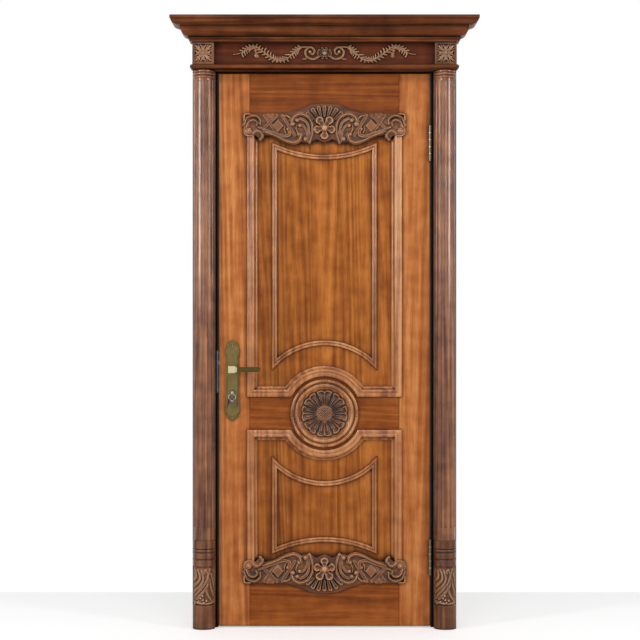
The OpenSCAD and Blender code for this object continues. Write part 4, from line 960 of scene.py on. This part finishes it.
low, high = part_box("front_plate")
plateCentre = ((low[0] + high[0]) / 2, (low[2] + high[2]) / 2)
plateFace = low[1] + plateOrnament["seat"]
put = lambda x, h, z: (plateCentre[0] + x / 1000, plateFace - h / 1000, plateCentre[1] + z / 1000)
piece = reliefMesh("plateOrnament", plateField(), 0.1, lambda x, z: -0.5, put,
                   crestHeight=plateOrnament["high"])
finishPiece(piece, "leaf", "handle_brass")
print("handle plate")


# Floor, light and camera

studio = {"floor": 5.0, "behind": 0.9, "floorLift": 0.42, "ambient": 0.35, "key": 92.0, "fill": 80.0,
          "top": 52.0, "side": 3.9, "front": 3.6, "height": 2.2}
floorMesh = bpy.data.meshes.new("floor")
reach = studio["floor"]
farSide = studio["behind"]
floorCorners = [(-reach, -reach, 0), (reach, -reach, 0), (reach, farSide, 0), (-reach, farSide, 0)]
floorMesh.from_pydata(floorCorners, [], [(0, 1, 2, 3)])
floor = bpy.data.objects.new("floor", floorMesh)
bpy.context.collection.objects.link(floor)
pale, tree = blankMaterial("paleFloor")
shader = place(tree, "ShaderNodeBsdfPrincipled")
shader.inputs["Base Color"].default_value = (0.8, 0.8, 0.8, 1)
shader.inputs["Roughness"].default_value = 0.7
shader.inputs["Emission Color"].default_value = (1, 1, 1, 1)
cameraRay = place(tree, "ShaderNodeLightPath").outputs["Is Camera Ray"]
feed(tree, mathNode(tree, "MULTIPLY", cameraRay, studio["floorLift"]), shader.inputs["Emission Strength"])
feed(tree, shader.outputs[0], place(tree, "ShaderNodeOutputMaterial").inputs[0])
floorMesh.materials.append(pale)
floor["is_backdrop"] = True


def softbox(name, at, aim, width, height, power):
    lamp = bpy.data.lights.new(name, "AREA")
    lamp.shape = "RECTANGLE"
    lamp.size = width
    lamp.size_y = height
    lamp.energy = power
    holder = bpy.data.objects.new(name, lamp)
    bpy.context.collection.objects.link(holder)
    holder.location = at
    holder.rotation_euler = (Vector(aim) - Vector(at)).to_track_quat("-Z", "Y").to_euler()
    return holder


leftSpot = (-studio["side"], -studio["front"], studio["height"])
rightSpot = (studio["side"], -studio["front"], studio["height"])
softbox("leftSoftbox", leftSpot, (0, 0, 1.7), 0.8, 1.7, studio["key"])
softbox("rightSoftbox", rightSpot, (0, 0, 1.7), 0.8, 1.7, studio["fill"])
softbox("topSoftbox", (0, -3.4, 4.2), (0, 0, 1.2), 2.6, 0.8, studio["top"])

world = bpy.data.worlds.new("studio")
bpy.context.scene.world = world
world.use_nodes = True
sky = world.node_tree
sky.nodes.clear()
path = place(sky, "ShaderNodeLightPath")
mirrored = mathNode(sky, "MAXIMUM", path.outputs["Is Glossy Ray"], path.outputs["Is Transmission Ray"])
seen = mathNode(sky, "MAXIMUM", path.outputs["Is Camera Ray"], mirrored)
tone = mixColour(sky, seen, (studio["ambient"], studio["ambient"], studio["ambient"], 1), (1, 1, 1, 1))
back = place(sky, "ShaderNodeBackground")
back.inputs["Strength"].default_value = 1
feed(sky, tone, back.inputs["Color"])
feed(sky, back.outputs[0], place(sky, "ShaderNodeOutputWorld").inputs[0])

eye = bpy.data.cameras.new("camera")
eye.lens = 103.5
eye.sensor_width = 36
eye.clip_end = 60
holder = bpy.data.objects.new("camera", eye)
bpy.context.collection.objects.link(holder)
holder.location = (-0.017, -7.0, 1.169)
holder.rotation_euler = (math.radians(90), 0, 0)
bpy.context.scene.camera = holder
bpy.context.scene.view_settings.view_transform = "Standard"
print("studio")

boxes = {"cad": boundsBefore, "visual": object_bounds()}
{name: [list(corner) for corner in box] for name, box in boxes.items()}
